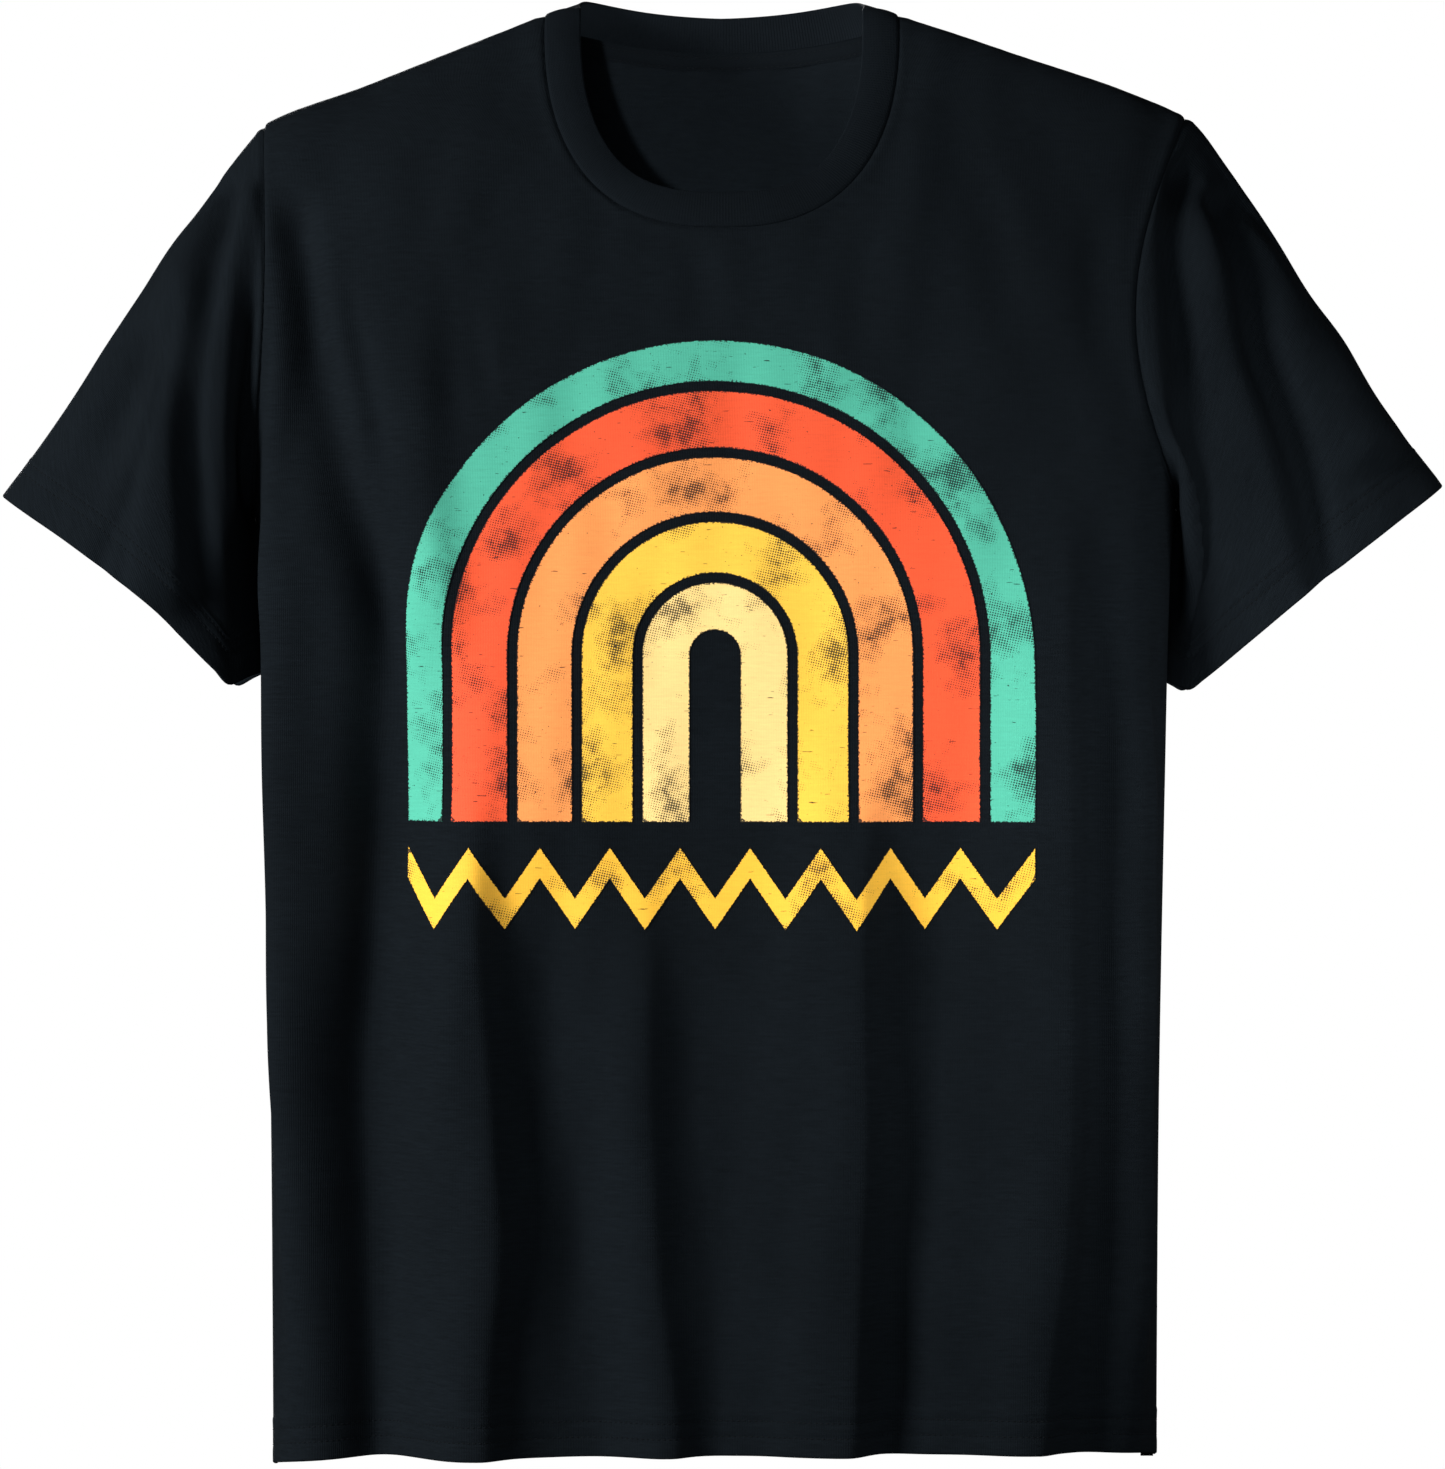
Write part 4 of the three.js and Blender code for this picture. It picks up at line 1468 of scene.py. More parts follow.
@dataclass
class Panel:
    """Front or back of the shirt: one sheet from the shoulders to the turned-up hem."""

    cut: Cut
    face: Face
    folds: Folds
    ripples: Ripples
    turn_up: TurnUp
    cloth: float = 0.8
    shoulder_cells: int = 40
    neck_cells: int = 110
    trace_points: int = 200
    middle_rows: int = 112
    seam_fade: float = 13.0
    side_fade: float = 0.06
    pull: SeamPull = SeamPull()
    side_pull: SeamPull = SeamPull(dip=0.2, lift=0.0)

    def relief(self, x: Array, z: Array) -> Array:
        """Relief of the folds and ripples, which dies out toward the side seams.

        Args:
            x: Places across.
            z: Heights.

        Returns:
            Array: How far each place moves outward.
        """
        inward = 1.0 - np.abs(self.cut.form.share(x, z))
        return (folded(self.folds, x, z) + self.ripples.relief(x, z)) * ease(inward, 0.0, self.side_fade)

    def surface(self, x: Array, z: Array, off: float) -> Array:
        """Points a little way off the folded cloth, away from its seams.

        Args:
            x: Places across.
            z: Heights.
            off: Distance outward from the cloth's face.

        Returns:
            Array: One point for each place.
        """
        base = self.cut.form.points(x, z, self.face)
        normals = self.cut.form.normals(base, self.face)
        return base + normals * (self.relief(x, z) + off)[..., None]

    def edges(self) -> tuple[Array, Array]:
        """The panel's upper edge and its hem.

        Returns:
            tuple: Points of each, from left to right.
        """
        cut, face = self.cut, self.face
        length = lengths_along(cut.shoulder_edge(Side.LEFT, face, np.array([0.0, 0.5, 1.0])))[-1]
        places = seam_places(length, self.shoulder_cells, False) / length
        left, right = (cut.shoulder_edge(side, face, places) for side in Side)
        upper = np.concatenate([left, cut.neck_edge(face, self.neck_cells)[1:-1], right[::-1]])
        hem_length = lengths_along(cut.hem_edge(face, np.linspace(0.0, 1.0, self.trace_points)))[-1]
        hem_places = seam_places(hem_length, len(upper) - 1, True) / hem_length
        return upper, cut.hem_edge(face, hem_places)

    def border_share(self, z: Array, side: Side) -> Array:
        """Share of the spread at which the panel ends on one side.

        Args:
            z: Heights.
            side: Left or right.

        Returns:
            Array: One share for each height.
        """
        form, cut = self.cut.form, self.cut
        reach = np.where(z > cut.armpit, cut.armhole_reach(z, side, self.face), form.half_width(z))
        return side.value * reach / form.spread(z)

    def base_grid(self) -> tuple[Array, Array]:
        """The panel without its folds.

        Returns:
            tuple: Rows by columns of points on the form, and their heights above the hem.
        """
        form = self.cut.form
        upper, hem = self.edges()
        top_z, foot_z = upper[:, 2], hem[:, 2]
        top_share = (upper[:, 0] - form.line_middle(top_z)) / form.spread(top_z)
        foot_share = (hem[:, 0] - form.line_middle(foot_z)) / form.spread(foot_z)
        low = self.turn_up.heights()
        first = top_z - SEAM_ROWS[-1]
        last = foot_z + low[0]
        shares = np.linspace(0.0, 1.0, self.middle_rows + 1)[1:-1, None]
        z = np.concatenate([top_z - SEAM_ROWS[:, None], first + (last - first) * shares, foot_z + low[:, None]])
        v = (top_z - z) / (top_z - foot_z)
        share = top_share + (foot_share - top_share) * v
        for side, column in ((Side.LEFT, 0), (Side.RIGHT, -1)):
            past_neck = side.value * upper[:, 0] - self.cut.neck_half
            weight = np.clip(past_neck / past_neck[column], 0.0, 1.0)
            level = top_z[column] + (foot_z[column] - top_z[column]) * v
            straight = top_share[column] + (foot_share[column] - top_share[column]) * v
            share = share + weight * (self.border_share(level, side) - straight)
        return form.points(form.line_middle(z) + share * form.spread(z), z, self.face), z - foot_z

    def build(self, material: Material) -> tuple[Piece, Rows]:
        """Builds the panel.

        Args:
            material: The jersey's material.

        Returns:
            tuple: The piece, and the points and normals of its cloth along each stitch row.
        """
        form, armpit = self.cut.form, self.cut.armpit
        base, above_hem = self.base_grid()
        normals = form.normals(base, self.face)
        x, z = base[..., 0], base[..., 2]
        sides = (base[:, 0], base[:, -1])
        sewn_on = [base[0]] + [side[side[:, 2] >= armpit] for side in sides]
        joined = [side[side[:, 2] <= armpit] for side in sides]
        to_seam, to_side = (
            np.minimum.reduce([distance_to_line(base, seam) for seam in seams]) for seams in (sewn_on, joined))
        relief = self.relief(x, z) * ease(np.minimum(to_seam, to_side), 0.0, self.seam_fade)
        relief = relief + self.pull.relief(to_seam, base) + self.side_pull.relief(to_side, base)
        outer = base + normals * (relief + self.turn_up.relief(above_hem))[..., None]
        name = self.face.name.lower()
        piece, rows = self.turn_up.sheet(
            f"{name}_panel_cloth", outer, normals, above_hem, form.cloth_place(x, z), self.cloth)
        return dressed(piece, material, "jersey", f"{name}_panel", "bottom_hem_turn_up"), rows


@dataclass(frozen=True)
class Loop:
    """An opening's edge as points, with the cloth's normal and the way into the opening at each."""

    points: Array
    normals: Array
    into: Array
    down: Array

    def turned(self, angle: Array) -> tuple[Array, Array]:
        """Turns the ways into the opening toward the normals, and the normals away from the opening.

        Args:
            angle: How far, one row for each point.

        Returns:
            tuple: The turned ways in, and the turned normals.
        """
        cosine, sine = np.cos(angle), np.sin(angle)
        return self.into * cosine + self.normals * sine, self.normals * cosine - self.into * sine


def joined_loop(form: WornForm, front: Array, back: Array, inside: Array) -> Loop:
    """Joins a front and a back edge to one closed loop.

    Args:
        form: The worn form.
        front: Points of the front edge.
        back: Points of the back edge, from the same end.
        inside: A point inside the opening.

    Returns:
        Loop: The loop, down the front edge and back up the back edge.
    """
    cells = len(front) - 1
    normals = np.concatenate([form.normals(front, Face.FRONT), form.normals(back[1:-1][::-1], Face.BACK)])
    points = np.concatenate([front, back[1:-1][::-1]])
    points[[0, cells], 1] = 0.0
    along = unit(np.roll(points, -1, axis=0) - np.roll(points, 1, axis=0))
    into = unit(np.cross(along, normals))
    into *= np.sign(np.einsum("ij,ij->i", into, inside - points))[:, None]
    number = np.arange(len(points))
    return Loop(points, normals, into, np.where(number <= cells, number / cells, 2.0 - number / cells))


@dataclass
class Sleeve:
    """A short set-in sleeve that hangs from the armhole, with a turned-up hem."""

    cut: Cut
    side: Side
    cuff: Pairs
    half_depth: float
    front_folds: Folds
    back_folds: Folds
    ripples: Ripples
    turn_up: TurnUp
    cloth: float = 0.8
    half_cells: int = 84
    middle_rows: int = 62
    cuff_stops: tuple[float, ...] = (0.0, 0.42, 0.68, 0.86, 0.92, 0.96, 1.0)
    armpit_fold: float = math.radians(177)
    cap_reach: float = 80.0
    top_reach: float = 240.0
    under_reach: float = 80.0
    top_slope: float = math.radians(52)
    under_slope: float = math.radians(90)
    seam_fade: float = 5.0
    press: float = 4.4
    press_reach: float = 0.16
    press_rise: Range = (2.0, 20.0)
    face_turn: Range = (-0.1, 0.5)
    cuff_row: int = -20
    pull: SeamPull = SeamPull()

    def seam(self) -> Loop:
        """The armhole loop that the sleeve is sewn to.

        Returns:
            Loop: The loop, down the front and back up the back.
        """
        cut, side = self.cut, self.side
        end = cut.shoulder_end[side]
        inside = np.array([float(cut.form.side(end, side)), 0.0, (end + cut.armpit) / 2])
        edges = [cut.armhole_edge(side, face, self.half_cells) for face in Face]
        return joined_loop(cut.form, *edges, inside)

    def lines(self, steps: int = 160) -> Array:
        """Lengthwise lines of the sleeve, from the armhole seam to the cuff.

        Args:
            steps: Number of points of each line.

        Returns:
            Array: Lines by points.
        """
        loop, gap = self.seam(), self.cut.form.seam_gap
        fold = (self.armpit_fold * loop.down**2)[:, None]
        leave, start = loop.turned(fold)[0], loop.points + gap * loop.turned(fold / 2)[0]
        turn = math.pi * loop.down
        inward = (1.0 - np.cos(turn)) / 2
        across, level = (Stations(list(self.cuff_stops), list(stops))(inward) for stops in zip(*self.cuff))
        end = np.stack([across, np.sign(loop.points[:, 1]) * self.half_depth * np.sin(turn), level], axis=-1)
        slope = self.top_slope + (self.under_slope - self.top_slope) * inward
        reach = (self.top_reach + (self.under_reach - self.top_reach) * inward)[:, None]
        heading = [self.side.value * np.cos(slope), np.zeros_like(slope), -np.sin(slope)]
        arrive = reach * np.stack(heading, axis=-1)
        t = np.linspace(0.0, 1.0, steps)[None, :, None]
        return hermite(t, *(place[:, None] for place in (start, self.cap_reach * leave, end, arrive)))

    def build(self, material: Material) -> tuple[Piece, Rows]:
        """Builds the sleeve.

        Args:
            material: The jersey's material.

        Returns:
            tuple: The piece, and the points and normals of its cloth along each stitch row.
        """
        low = self.turn_up.heights()
        columns, stops, heights = [], [], []
        for line in self.lines():
            length = lengths_along(line)[-1]
            middle = np.linspace(SEAM_ROWS[-1], length - low[0], self.middle_rows + 1)[1:-1]
            places = np.concatenate([SEAM_ROWS, middle, length - low])
            columns.append(resample(line, places))
            stops.append(places)
            heights.append(length - places)
        base, from_seam, above_hem = (np.stack(values, axis=1) for values in (columns, stops, heights))
        outward = base - base.mean(axis=1, keepdims=True)
        normals = turned_with(grid_normals(base, True), outward)
        x, z = base[..., 0], base[..., 2]
        relief = self.ripples.relief(x, z)
        for face, folds in ((Face.FRONT, self.front_folds), (Face.BACK, self.back_folds)):
            relief = relief + folded(folds, x, z) * ease(face.value * normals[..., 1], *self.face_turn)
        relief = relief * ease(from_seam, 0.0, self.seam_fade)
        relief = relief + self.pull.relief(from_seam, base) + self.turn_up.relief(above_hem)
        under = bell(1.0 - self.seam().down, 0.0, self.press_reach)
        relief = relief + self.press * under * ease(from_seam, *self.press_rise)
        outer = base + normals * relief[..., None]
        around, down = (np.concatenate([grid, grid[:, :1]], axis=1) for grid in (base, from_seam))
        round_cuff = np.broadcast_to(lengths_along(around[self.cuff_row]), down.shape)
        uv = np.stack([round_cuff, -down], axis=-1) * MM
        name = self.side.name.lower()
        piece, rows = self.turn_up.sheet(
            f"{name}_sleeve_cloth", outer, normals, above_hem, uv, self.cloth, wrapped=True)
        return dressed(piece, material, "jersey", f"{name}_sleeve", f"{name}_cuff_turn_up"), rows


@dataclass
class NeckRib:
    """Ribbed collar band: a strip folded lengthwise and sewn round the neckline."""

    cut: Cut
    thickness: float = 2.2
    bulge: float = 1.2
    rib_pitch: float = 1.55
    rib_depth: float = 0.16
    cells_a_rib: int = 6
    trace_cells: int = 300
    top_cells: int = 6
    rib_start: float = 2.0
    inner_ribs: float = 0.6
    edge_dip: float = 0.55
    edge_reach: float = 0.7
    stops: tuple[float, ...] = (0.0, 0.35, 0.8, 1.5, 3.0, 5.5, 8.0, 10.5, 13.0, 15.5, 17.9)
    lean: dict[Face, Stations] = field(default_factory=lambda: {
        Face.FRONT: Stations([0.0, 0.2, 0.5], [-10.0, 0.0, 0.0]),
        Face.BACK: Stations([0.0, 0.1, 0.2, 0.35, 0.5], [-10.0, 8.0, 18.0, 8.0, 0.0]),
    })

    def loop(self) -> tuple[Loop, Array]:
        """The neckline with the band's lean, and a whole number of ribs on its front and back edge.

        Returns:
            tuple: The loop, with the band's own directions, and how far its foot stands off the seam.
        """
        edges, leans = [], []
        for face in Face:
            length = lengths_along(self.cut.neck_edge(face, self.trace_cells))[-1]
            cells = self.cells_a_rib * round(length / self.rib_pitch)
            edges.append(self.cut.neck_edge(face, cells))
            share = np.arange(cells + 1) / cells
            leans.append(np.radians(self.lean[face](np.minimum(share, 1.0 - share))))
        loop = joined_loop(self.cut.form, *edges, np.zeros(3))
        lean = np.concatenate([leans[0], leans[1][1:-1]])[:, None]
        into, normals = loop.turned(lean)
        return Loop(loop.points, normals, into, loop.down), self.thickness * np.maximum(0.0, -np.sin(lean))

    def section(self) -> Array:
        """Cross-section of the folded band.

        Returns:
            Array: Way into the opening, way outward and share of the ribs' relief at each corner.
        """
        stops = np.array(self.stops)
        into = self.cut.form.seam_gap + stops
        share = stops / stops[-1]
        swell = self.bulge * 4.0 * share * (1.0 - share)
        dip = self.edge_dip * bell(stops, 0.0, self.edge_reach)
        outer = np.stack([into, swell - dip, ease(stops, 0.0, self.rib_start)], axis=-1)
        angle = np.linspace(0.0, math.pi, self.top_cells + 1)[1:-1]
        half = self.thickness / 2
        over, behind = into[-1] + half * np.sin(angle), half * np.cos(angle) - half
        top = np.stack([over, behind, np.ones_like(angle)], axis=-1)
        ribs = np.full_like(share, self.inner_ribs)
        inner = np.stack([into[::-1], (swell - self.thickness)[::-1], ribs], axis=-1)
        return np.concatenate([outer, top, inner])

    def build(self, material: Material) -> Piece:
        """Builds the collar band.

        Args:
            material: The rib's material.

        Returns:
            Piece: The band.
        """
        (loop, foot), section = self.loop(), self.section()
        wave = self.rib_depth / 2 * np.cos(FULL_TURN * np.arange(len(loop.points)) / self.cells_a_rib)
        half_way = len(self.stops) - 1 + self.top_cells / 2
        outside = np.clip((half_way - np.arange(len(section))) / (self.top_cells / 2), -1.0, 1.0)
        relief = wave[:, None] * section[None, :, 2] * outside[None, :]
        rings = (
            loop.points[:, None]
            + loop.into[:, None] * (section[None, :, 0] + foot)[..., None]
            + loop.normals[:, None] * (section[None, :, 1] + relief)[..., None]
        )
        along = np.append(lengths_along(loop.points), lengths_along(loop.points)[-1] + self.rib_pitch)
        across = np.concatenate([section[:, 0], section[:1, 0]])
        uv = np.stack(np.meshgrid(along, across, indexing="ij"), axis=-1) * MM
        piece = band_piece("neck_rib_band", rings, uv, closed=True)
        return dressed(piece, material, "rib", "neck_rib")


@dataclass
class NeckTape:
    """Narrow woven tape that covers the neck seam inside the back."""

    cut: Cut
    half_length: float = 84.0
    top: float = -0.5
    width: float = 9.5
    behind_cloth: float = 0.95
    thickness: float = 0.5
    cells: int = 110
    trace_cells: int = 400
    crown: float = 0.3
    stitch_rows: tuple[float, ...] = (2.0, 7.6)
    stitch_dip: float = 0.22
    stitch_reach: float = 0.6
    stops: tuple[float, ...] = (0.0, 0.4, 1.0, 1.8, 2.5, 3.2, 4.5, 5.8, 6.9, 7.6, 8.1, 8.8, 9.3, 9.5)

    def face(self, drop: Array) -> tuple[Array, Array]:
        """Points and normals of the tape's shown face.

        Args:
            drop: Distances below the neckline, one for each row.

        Returns:
            tuple: Rows by columns of points, and of normals that point into the shirt.
        """
        edge = self.cut.neck_edge(Face.BACK, self.trace_cells)
        edge = edge[np.abs(edge[:, 0]) < self.half_length]
        edge = resample(edge, np.linspace(0.0, lengths_along(edge)[-1], self.cells + 1))
        x = np.broadcast_to(edge[:, 0], (len(drop), len(edge)))
        wall = self.cut.form.points(x, edge[:, 2] - drop[:, None], Face.BACK)
        normals = self.cut.form.normals(wall, Face.BACK)
        share = (drop - self.top) / self.width
        crown = self.crown * np.clip(1.0 - np.abs(2.0 * share - 1.0) ** 4, 0.0, 1.0)
        for row in self.stitch_rows:
            crown = crown - self.stitch_dip * bell(drop, row, self.stitch_reach)
        return wall - normals * (self.behind_cloth + self.thickness + crown[:, None, None]), -normals

    def stitch_lines(self) -> Rows:
        """Points and normals of the tape's face along its stitch rows."""
        points, normals = self.face(np.array(self.stitch_rows))
        return list(zip(points, normals))

    def build(self, material: Material) -> Piece:
        """Builds the tape.

        Args:
            material: The tape's material.

        Returns:
            Piece: The tape.
        """
        drop = self.top + np.array(self.stops)
        points, normals = self.face(drop)
        along = lengths_along(points[0])
        uv = np.stack(np.meshgrid(drop, along, indexing="ij")[::-1], axis=-1) * MM
        piece = shell_piece("neck_tape_woven", points, normals, self.thickness, uv)
        return dressed(piece, material, "jersey", "neck_tape")


@dataclass(frozen=True)
class Stitching:
    """Rows of machine stitches, each stitch a short thread that dips into the cloth at its ends."""

    pitch: float = 3.0
    stitch: float = 2.35
    radius: float = 0.3
    sides: int = 6
    sink: float = 0.5
    lift: float = 0.55
    aim_step: float = 0.4
    profile: Pairs = (
        (-1.0, 0.35), (-0.78, 0.85), (-0.3, 1.0), (0.3, 1.0), (0.78, 0.85), (1.0, 0.35),
    )

    def unit_stitch(self) -> tuple[Array, Array]:
        """One stitch along its own line.

        Returns:
            tuple: Its corners, and the corner numbers of its faces.
        """
        half = self.stitch / 2
        stops, girth = np.transpose(self.profile) * [[half], [self.radius]]
        angle = FULL_TURN * np.arange(self.sides) / self.sides
        x = np.repeat(stops, self.sides)
        y = (girth[:, None] * np.cos(angle)).ravel()
        z = (girth[:, None] * np.sin(angle)).ravel() - self.sink * (x / half) ** 2
        corners = grid_corners(len(stops), self.sides, False, True)
        sides = corners[..., 0] * self.sides + corners[..., 1] % self.sides
        caps = [[0, 1, 2, 3], [0, 3, 4, 5]]
        last = (len(stops) - 1) * self.sides
        ends = np.array(caps + [[last + k for k in reversed(cap)] for cap in caps])
        return np.stack([x, y, z], axis=-1), np.concatenate([sides, ends])

    def build(self, name: str, rows: Rows, material: Material) -> Piece:
        """Builds rows of stitches as one piece.

        Args:
            name: The piece's name.
            rows: Points and outward normals of the cloth along each row.
            material: The thread's material.

        Returns:
            Piece: The stitches.
        """
        unit_points, unit_faces = self.unit_stitch()
        points, faces, count = [], [], 0
        for line, normals in rows:
            places = np.arange(self.pitch / 2, lengths_along(line)[-1], self.pitch)
            out = unit(resample(line, places, normals))
            ahead = unit(resample(line, places + self.aim_step) - resample(line, places - self.aim_step))
            beside = unit(np.cross(out, ahead))
            for spot, *axes in zip(resample(line, places), ahead, beside, out):
                points.append(spot + (unit_points + [0.0, 0.0, self.lift * self.radius]) @ np.stack(axes))
                faces.append(unit_faces + count)
                count += len(unit_points)
        corners = np.concatenate(points)
        uv = np.tile(unit_points[:, :2] * MM, (len(points), 1))
        numbers = np.concatenate(faces)
        piece = make_piece(name, corners, numbers, uv[numbers], smooth_angle=70.0)
        return dressed(piece, material, "jersey")


@dataclass(frozen=True)
class SeamAllowance:
    """Overlocked edge of a seam that stands inward behind it."""

    width: float = 6.5
    thickness: float = 1.2
    start: float = 1.1
    thread_wave: float = 2.2
    thread_depth: float = 0.2
    cells_a_wave: int = 4
    swing: float = 0.55
    swing_reach: float = 17.0
    profile: Pairs = ((0.0, 1.8), (0.12, 1.4), (0.4, 1.0), (0.8, 0.95), (1.0, 0.4))

    def build(self, name: str, points: Array, normals: Array, inward: Array, material: Material,
              closed: bool = False) -> Piece:
        """Builds the allowance of one seam.

        Args:
            name: The piece's name.
            points: Points along the seam.
            normals: Direction across the allowance's thickness at each.
            inward: Direction in which it stands at each.
            material: The jersey's material.
            closed: Whether the seam closes on itself.

        Returns:
            Piece: The allowance.
        """
        length = lengths_along(points)[-1]
        count = int(length / self.thread_wave * self.cells_a_wave)
        places = np.linspace(0.0, length, count, endpoint=not closed)
        line, across, way_in = (resample(points, places, values) for values in (points, normals, inward))
        depth, side = np.transpose(self.profile)
        depth = np.concatenate([depth, depth[::-1]]) * self.width + self.start
        side = np.concatenate([side, -side[::-1]]) * self.thickness / 2
        wave = self.thread_depth * np.sin(FULL_TURN * places / self.thread_wave)
        swing = self.swing * np.sin(places / self.swing_reach)
        aside = side * (1.0 + wave[:, None]) + swing[:, None] * (depth / self.width) ** 2
        rings = (
            line[:, None]
            + unit(way_in)[:, None] * depth[:, None]
            + unit(across)[:, None] * aside[..., None]
        )
        marks = np.append(places, length)
        around = np.append(np.cumsum(np.abs(side)), np.abs(side).sum())
        uv = np.stack(np.meshgrid(marks, around, indexing="ij"), axis=-1) * MM
        return dressed(band_piece(name, rings, uv, closed), material, "jersey")


@dataclass(frozen=True)
class ArchInk:
    """One arch of the printed motif: two upright legs and a half round between them."""

    name: str
    colour: Colour
    outer: float
    inner: float


@dataclass
class Print:
    """Printed motif on the chest: five nested arches over a zigzag band."""

    panel: Panel
    centre: float = -3.3
    spring: float = -339.0
    foot: float = -424.0
    cell: float = 2.6
    off: float = 0.5
    film: float = 0.3
    arches: tuple[ArchInk, ...] = (
        ArchInk("teal", (0.074, 0.451, 0.314), 161.0, 140.0),
        ArchInk("red", (0.871, 0.091, 0.026), 135.0, 106.0),
        ArchInk("orange", (0.956, 0.323, 0.084), 101.0, 73.0),
        ArchInk("yellow", (1.0, 0.578, 0.058), 68.0, 42.0),
        ArchInk("cream", (1.0, 0.694, 0.254), 37.0, 13.0),
    )
    zigzag_colour: Colour = (1.0, 0.539, 0.042)
    zigzag_middle: float = -458.0
    zigzag_half_length: float = 161.0
    zigzag_teeth: int = 9
    zigzag_swing: float = 13.0
    zigzag_half_width: float = 8.0
    tooth_cells: int = 16
    zigzag_rows: int = 7

    def film_piece(self, name: str, slot: str, colour: Colour, x: Array, z: Array,
                   groups: Groups) -> Piece:
        """Builds one film of ink.

        Args:
            name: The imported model's node that the film stands for.
            slot: The record's material slot.
            colour: The ink's colour.
            x: Rows by columns of places across.
            z: Rows by columns of heights.
            groups: The shared node groups.

        Returns:
            Piece: The film.
        """
        points = self.panel.surface(x, z, self.off)
        normals = turned_with(grid_normals(points), np.full_like(points, [0.0, Face.FRONT.value, 0.0]))
        uv = self.panel.cut.form.cloth_place(x, z)
        piece = shell_piece(f"{name}_film", points, normals, self.film, uv)
        along, across = lengths_along(points), lengths_along(points.swapaxes(0, 1)).T
        nearest = np.minimum.reduce([along, along[:, -1:] - along, across, across[-1:] - across])
        attribute = piece.data.attributes.new(RIM_DISTANCE, "FLOAT", "POINT")
        attribute.data.foreach_set("value", np.tile(nearest.ravel(), 2).astype(np.float32))
        ink = InkFinish(f"{slot}_print", colour, JERSEY)
        return dressed(piece, ink.material(groups), slot, name)

    def arch_outline(self, radius: Array, cells: int) -> tuple[Array, Array]:
        """Outlines of arches: up the left leg, round the top and down the right leg.

        Args:
            radius: Radius of each arch.
            cells: Number of cells round the top.

        Returns:
            tuple: Places across and heights, arches by points.
        """
        leg_cells = round((self.spring - self.foot) / self.cell)
        leg = np.linspace(self.foot, self.spring, leg_cells + 1)[:-1]
        angle = math.pi * (1.0 - np.arange(cells + 1) / cells)
        across = np.concatenate([-np.ones_like(leg), np.cos(angle), np.ones_like(leg)])
        rise = np.concatenate([np.zeros_like(leg), np.sin(angle), np.zeros_like(leg)])
        level = np.concatenate([leg, np.full_like(angle, self.spring), leg[::-1]])
        return self.centre + radius[:, None] * across, level + radius[:, None] * rise

    def build(self, groups: Groups) -> list[Piece]:
        """Builds every film of the motif.

        Args:
            groups: The shared node groups.

        Returns:
            list: The films.
        """
        films = []
        for arch in self.arches:
            across = round((arch.outer - arch.inner) / self.cell)
            radius = np.linspace(arch.outer, arch.inner, across + 1)
            x, z = self.arch_outline(radius, round(math.pi * arch.outer / self.cell))
            name = f"print_arch_{arch.name}"
            films.append(self.film_piece(name, f"{arch.name}_ink", arch.colour, x, z, groups))
        cells = self.zigzag_teeth * self.tooth_cells
        number = np.arange(cells + 1)
        phase = np.abs((number / self.tooth_cells % 1.0) * 2.0 - 1.0)
        line = self.zigzag_middle + self.zigzag_swing * (2.0 * phase - 1.0)
        across = np.linspace(self.zigzag_half_width, -self.zigzag_half_width, self.zigzag_rows)
        x = self.centre + self.zigzag_half_length * (2.0 * number / cells - 1.0)
        x, z = np.broadcast_arrays(x, line + across[:, None])
        films.append(self.film_piece("print_zigzag", "gold_ink", self.zigzag_colour, x, z, groups))
        return films


# Camera, lights and the room


@dataclass(frozen=True)
class Lamp:
    """A square soft lamp, with its place and what it faces in millimetres and its power in watts."""

    name: str
    place: tuple[float, float, float]
    power: float
    size: float
    target: tuple[float, float, float] = (0.0, 0.0, -380.0)
    spread: float = math.pi

    def build(self, lit: tuple[Piece, ...] = ()) -> None:
        """Adds the lamp to the scene.

        Args:
            lit: The only pieces that the lamp lights, or none where it lights all.
        """
        data = bpy.data.lights.new(self.name, "AREA")
        data.size = self.size * MM
        data.spread = self.spread
        data.energy = self.power
        lamp = bpy.data.objects.new(self.name, data)
        lamp.location = Vector(self.place) * MM
        lamp.rotation_euler = (Vector(self.target) * MM - lamp.location).to_track_quat("-Z", "Y").to_euler()
        bpy.context.scene.collection.objects.link(lamp)
        if lit:
            lamp.light_linking.receiver_collection = bpy.data.collections.new(f"lit_by_{self.name}")
            for piece in lit:
                lamp.light_linking.receiver_collection.objects.link(piece)


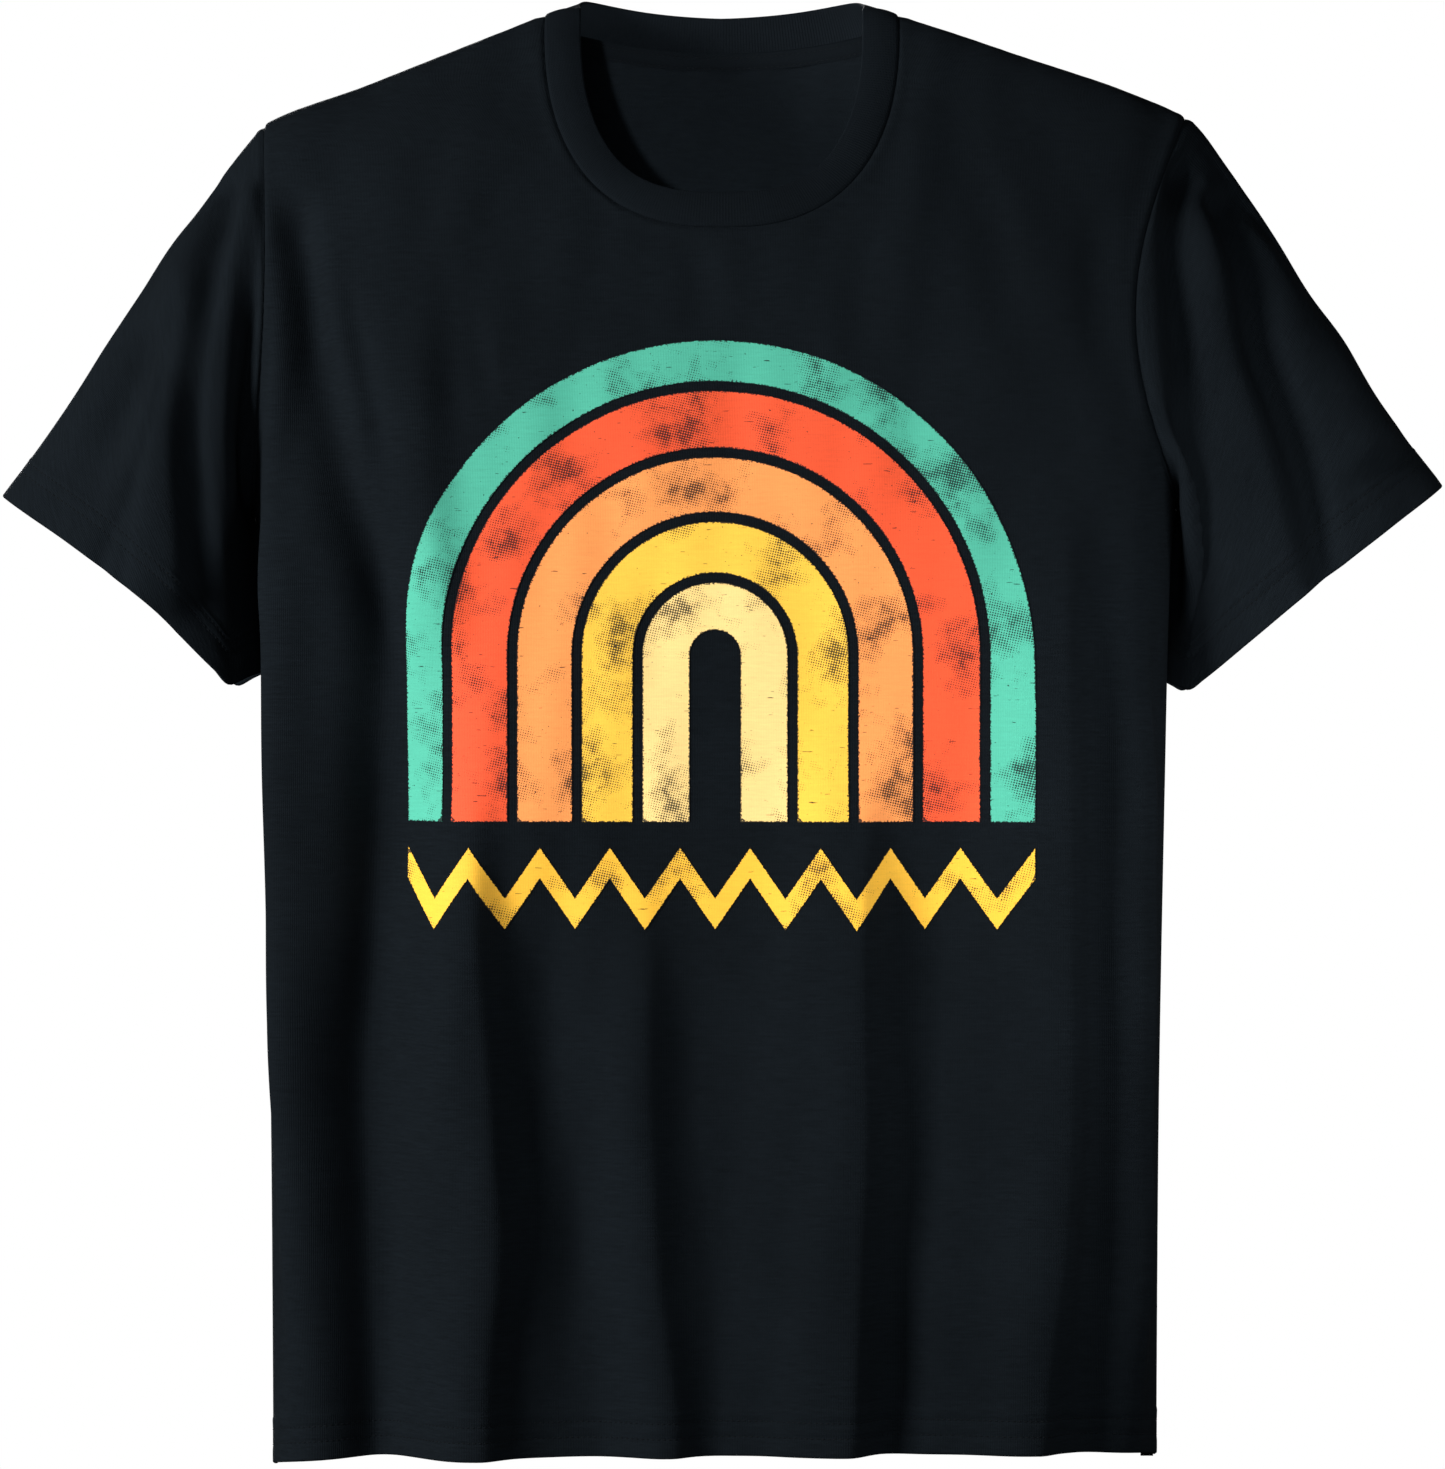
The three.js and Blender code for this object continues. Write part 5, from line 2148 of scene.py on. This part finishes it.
@dataclass
class Studio:
    """Camera at the photograph's viewpoint, a soft key light from the upper left and a white room."""

    distance: float = 3200.0
    aim: tuple[float, float] = (0.5, -379.4)
    view_height: float = 769.3
    sensor: float = 36.0
    lamps: tuple[Lamp, ...] = (
        Lamp("key_light", (-4700.0, -3100.0, 700.0), 455.0, 1600.0),
        Lamp("front_light", (-200.0, -5000.0, 900.0), 34.0, 1600.0),
        Lamp("side_light", (430.0, -340.0, -430.0), 0.85, 300.0, (190.0, 0.0, -420.0), math.radians(130)),
        Lamp("left_light", (-1000.0, -450.0, -250.0), 2.2, 400.0, (-200.0, 0.0, -350.0)),
        Lamp("back_light", (-900.0, 5200.0, 1300.0), 380.0, 1600.0),
    )
    neck: Lamp = Lamp("neck_light", (-560.0, -3000.0, -140.0), 84.0, 110.0, (0.0, 60.0, -60.0))
    collar: Lamp = Lamp("collar_light", (0.0, -30.0, -170.0), 0.3, 70.0, (0.0, 55.0, -15.0))
    ambient: float = 0.08

    def camera(self) -> None:
        """Places the camera level with the middle of the shirt."""
        data = bpy.data.cameras.new("camera")
        data.sensor_width = self.sensor
        data.lens = self.sensor * self.distance / self.view_height
        camera = bpy.data.objects.new("camera", data)
        camera.location = Vector((self.aim[0], -self.distance, self.aim[1])) * MM
        camera.rotation_euler = (math.pi / 2, 0.0, 0.0)
        bpy.context.scene.collection.objects.link(camera)
        bpy.context.scene.camera = camera

    def surroundings(self) -> None:
        """Sets a white room that lights the shirt softly."""
        world = bpy.data.worlds.new("room")
        world.use_nodes = True
        graph = Graph(world.node_tree)
        seen, lighting = (
            graph.add("ShaderNodeBackground", {"Color": (1.0, 1.0, 1.0, 1.0), "Strength": strength}).outputs[0]
            for strength in (1.0, self.ambient))
        path = graph.add("ShaderNodeLightPath")
        mix = graph.add("ShaderNodeMixShader", {0: path.outputs["Is Camera Ray"], 1: lighting, 2: seen})
        graph.add("ShaderNodeOutputWorld", {"Surface": mix.outputs[0]})
        bpy.context.scene.world = world
        bpy.context.scene.view_settings.view_transform = "Standard"

    def build(self, inside: tuple[Piece, ...], rib: Piece) -> None:
        """Sets up the whole studio.

        Args:
            inside: The pieces that are seen through the neck opening.
            rib: The collar band, whose inner face gets a lamp of its own.
        """
        self.camera()
        self.surroundings()
        for lamp in self.lamps:
            lamp.build()
        self.neck.build(inside)
        self.collar.build((rib,))


@dataclass
class Allowances:
    """The overlocked allowances inside the shoulder, side, armhole and neck seams."""

    cut: Cut
    sleeves: list[Sleeve]
    strip: SeamAllowance = SeamAllowance()
    broad: SeamAllowance = SeamAllowance(thickness=2.6, start=0.9)
    slim: SeamAllowance = SeamAllowance(width=3.2)
    shoulder_shares: tuple[float, float, int] = (0.004, 0.996, 60)
    above_armpit: float = -4.0
    above_hem: float = 1.5
    side_points: int = 80
    neck_cells: int = 150
    under_tape: float = 3.0

    def body(self, side: Side, material: Material) -> list[Piece]:
        """Builds the allowances of the shoulder and the side seam.

        Args:
            side: Left or right.
            material: The jersey's material.

        Returns:
            list: The two pieces.
        """
        cut, form, name = self.cut, self.cut.form, side.name.lower()
        shoulder = cut.shoulder_edge(side, Face.FRONT, np.linspace(*self.shoulder_shares)) * [1.0, 0.0, 1.0]
        out = form.normals(shoulder, Face.FRONT)
        z = np.linspace(cut.armpit + self.above_armpit, cut.hem + self.above_hem, self.side_points)
        seam = np.stack([form.side(z, side), np.zeros_like(z), z], axis=-1)
        inward = np.broadcast_to([-float(side.value), 0.0, 0.0], seam.shape)
        back, side_back = (np.broadcast_to([0.0, 1.0, 0.0], line.shape) for line in (shoulder, seam))
        return [
            self.broad.build(f"{name}_shoulder_allowance", shoulder, back, -out, material),
            self.strip.build(f"{name}_side_allowance", seam, side_back, inward, material),
        ]

    def armhole(self, sleeve: Sleeve, material: Material) -> Piece:
        """Builds the allowance of an armhole.

        Args:
            sleeve: The sleeve that is sewn to it.
            material: The jersey's material.

        Returns:
            Piece: The piece.
        """
        loop = sleeve.seam()
        fold = (sleeve.armpit_fold * loop.down**2)[:, None]
        across, out = loop.turned(fold / 2)
        ring = [np.concatenate([part, part[:1]]) for part in (loop.points, across, -out)]
        name = f"{sleeve.side.name.lower()}_armhole_allowance"
        return self.strip.build(name, *ring, material, closed=True)

    def neck(self, material: Material) -> Piece:
        """Builds the allowance of the neck seam, where no tape covers it.

        Args:
            material: The jersey's material.

        Returns:
            Piece: The piece.
        """
        edges = [self.cut.neck_edge(face, self.neck_cells) for face in Face]
        neck = joined_loop(self.cut.form, *edges, np.zeros(3))
        covered = NeckTape(self.cut).half_length - self.under_tape
        taped = (neck.points[:, 1] > 0) & (np.abs(neck.points[:, 0]) < covered)
        order = np.roll(np.arange(len(taped)), -1 - np.flatnonzero(taped)[-1])[: (~taped).sum()]
        parts = (part[order] for part in (neck.points, neck.into, -neck.normals))
        return self.slim.build("neck_allowance", *parts, material)

    def build(self, material: Material) -> list[Piece]:
        """Builds all allowances.

        Args:
            material: The jersey's material.

        Returns:
            list: The pieces.
        """
        pieces = [piece for side in Side for piece in self.body(side, material)]
        pieces += [self.armhole(sleeve, material) for sleeve in self.sleeves]
        return [*pieces, self.neck(material)]


@dataclass(frozen=True)
class FlatSize:
    """Size of a piece's cloth before it was sewn, and its area where the cut isn't a rectangle."""

    width: float
    length: float
    area: float


def main() -> None:
    """Builds the shirt and the studio."""
    logging.basicConfig(level=logging.INFO, format="%(name)s: %(message)s")
    groups = Groups()
    jersey, rib = JERSEY.material(groups), RIB.material(groups)
    thread, twill = THREAD.material(), TWILL.material()

    cut = Cut(WornForm())
    hem = TurnUp(24.0, (10.0, 18.0))
    cuff = TurnUp(25.0, (16.5, 22.5))
    front_panel = Panel(cut, Face.FRONT, FRONT_FOLDS, Ripples(3), hem)
    front, front_rows = front_panel.build(jersey)
    back, back_rows = Panel(cut, Face.BACK, BACK_FOLDS, Ripples(11), hem).build(jersey)
    back_folds = mirrored(SLEEVE_BACK_FOLDS)
    sleeves = [
        Sleeve(cut, Side.LEFT, LEFT_CUFF, 48.0, LEFT_SLEEVE_FOLDS, back_folds, Ripples(21), cuff),
        Sleeve(cut, Side.RIGHT, RIGHT_CUFF, 38.0, RIGHT_SLEEVE_FOLDS, SLEEVE_BACK_FOLDS, Ripples(29), cuff),
    ]
    (left, left_rows), (right, right_rows) = [sleeve.build(jersey) for sleeve in sleeves]
    neck_tape = NeckTape(cut)
    collar, tape = NeckRib(cut).build(rib), neck_tape.build(twill)
    seam_edges = Allowances(cut, sleeves).build(jersey)
    films = Print(front_panel).build(groups)
    front_hem, back_hem, tape_rows, left_cuff, right_cuff = [
        Stitching().build(f"{name}_stitches", rows, thread) for name, rows in (
            ("front_hem", front_rows), ("back_hem", back_rows), ("neck_tape", neck_tape.stitch_lines()),
            ("left_cuff", left_rows), ("right_cuff", right_rows),
        )
    ]
    Studio().build((back, tape, tape_rows), collar)


if __name__ == "__main__":
    main()
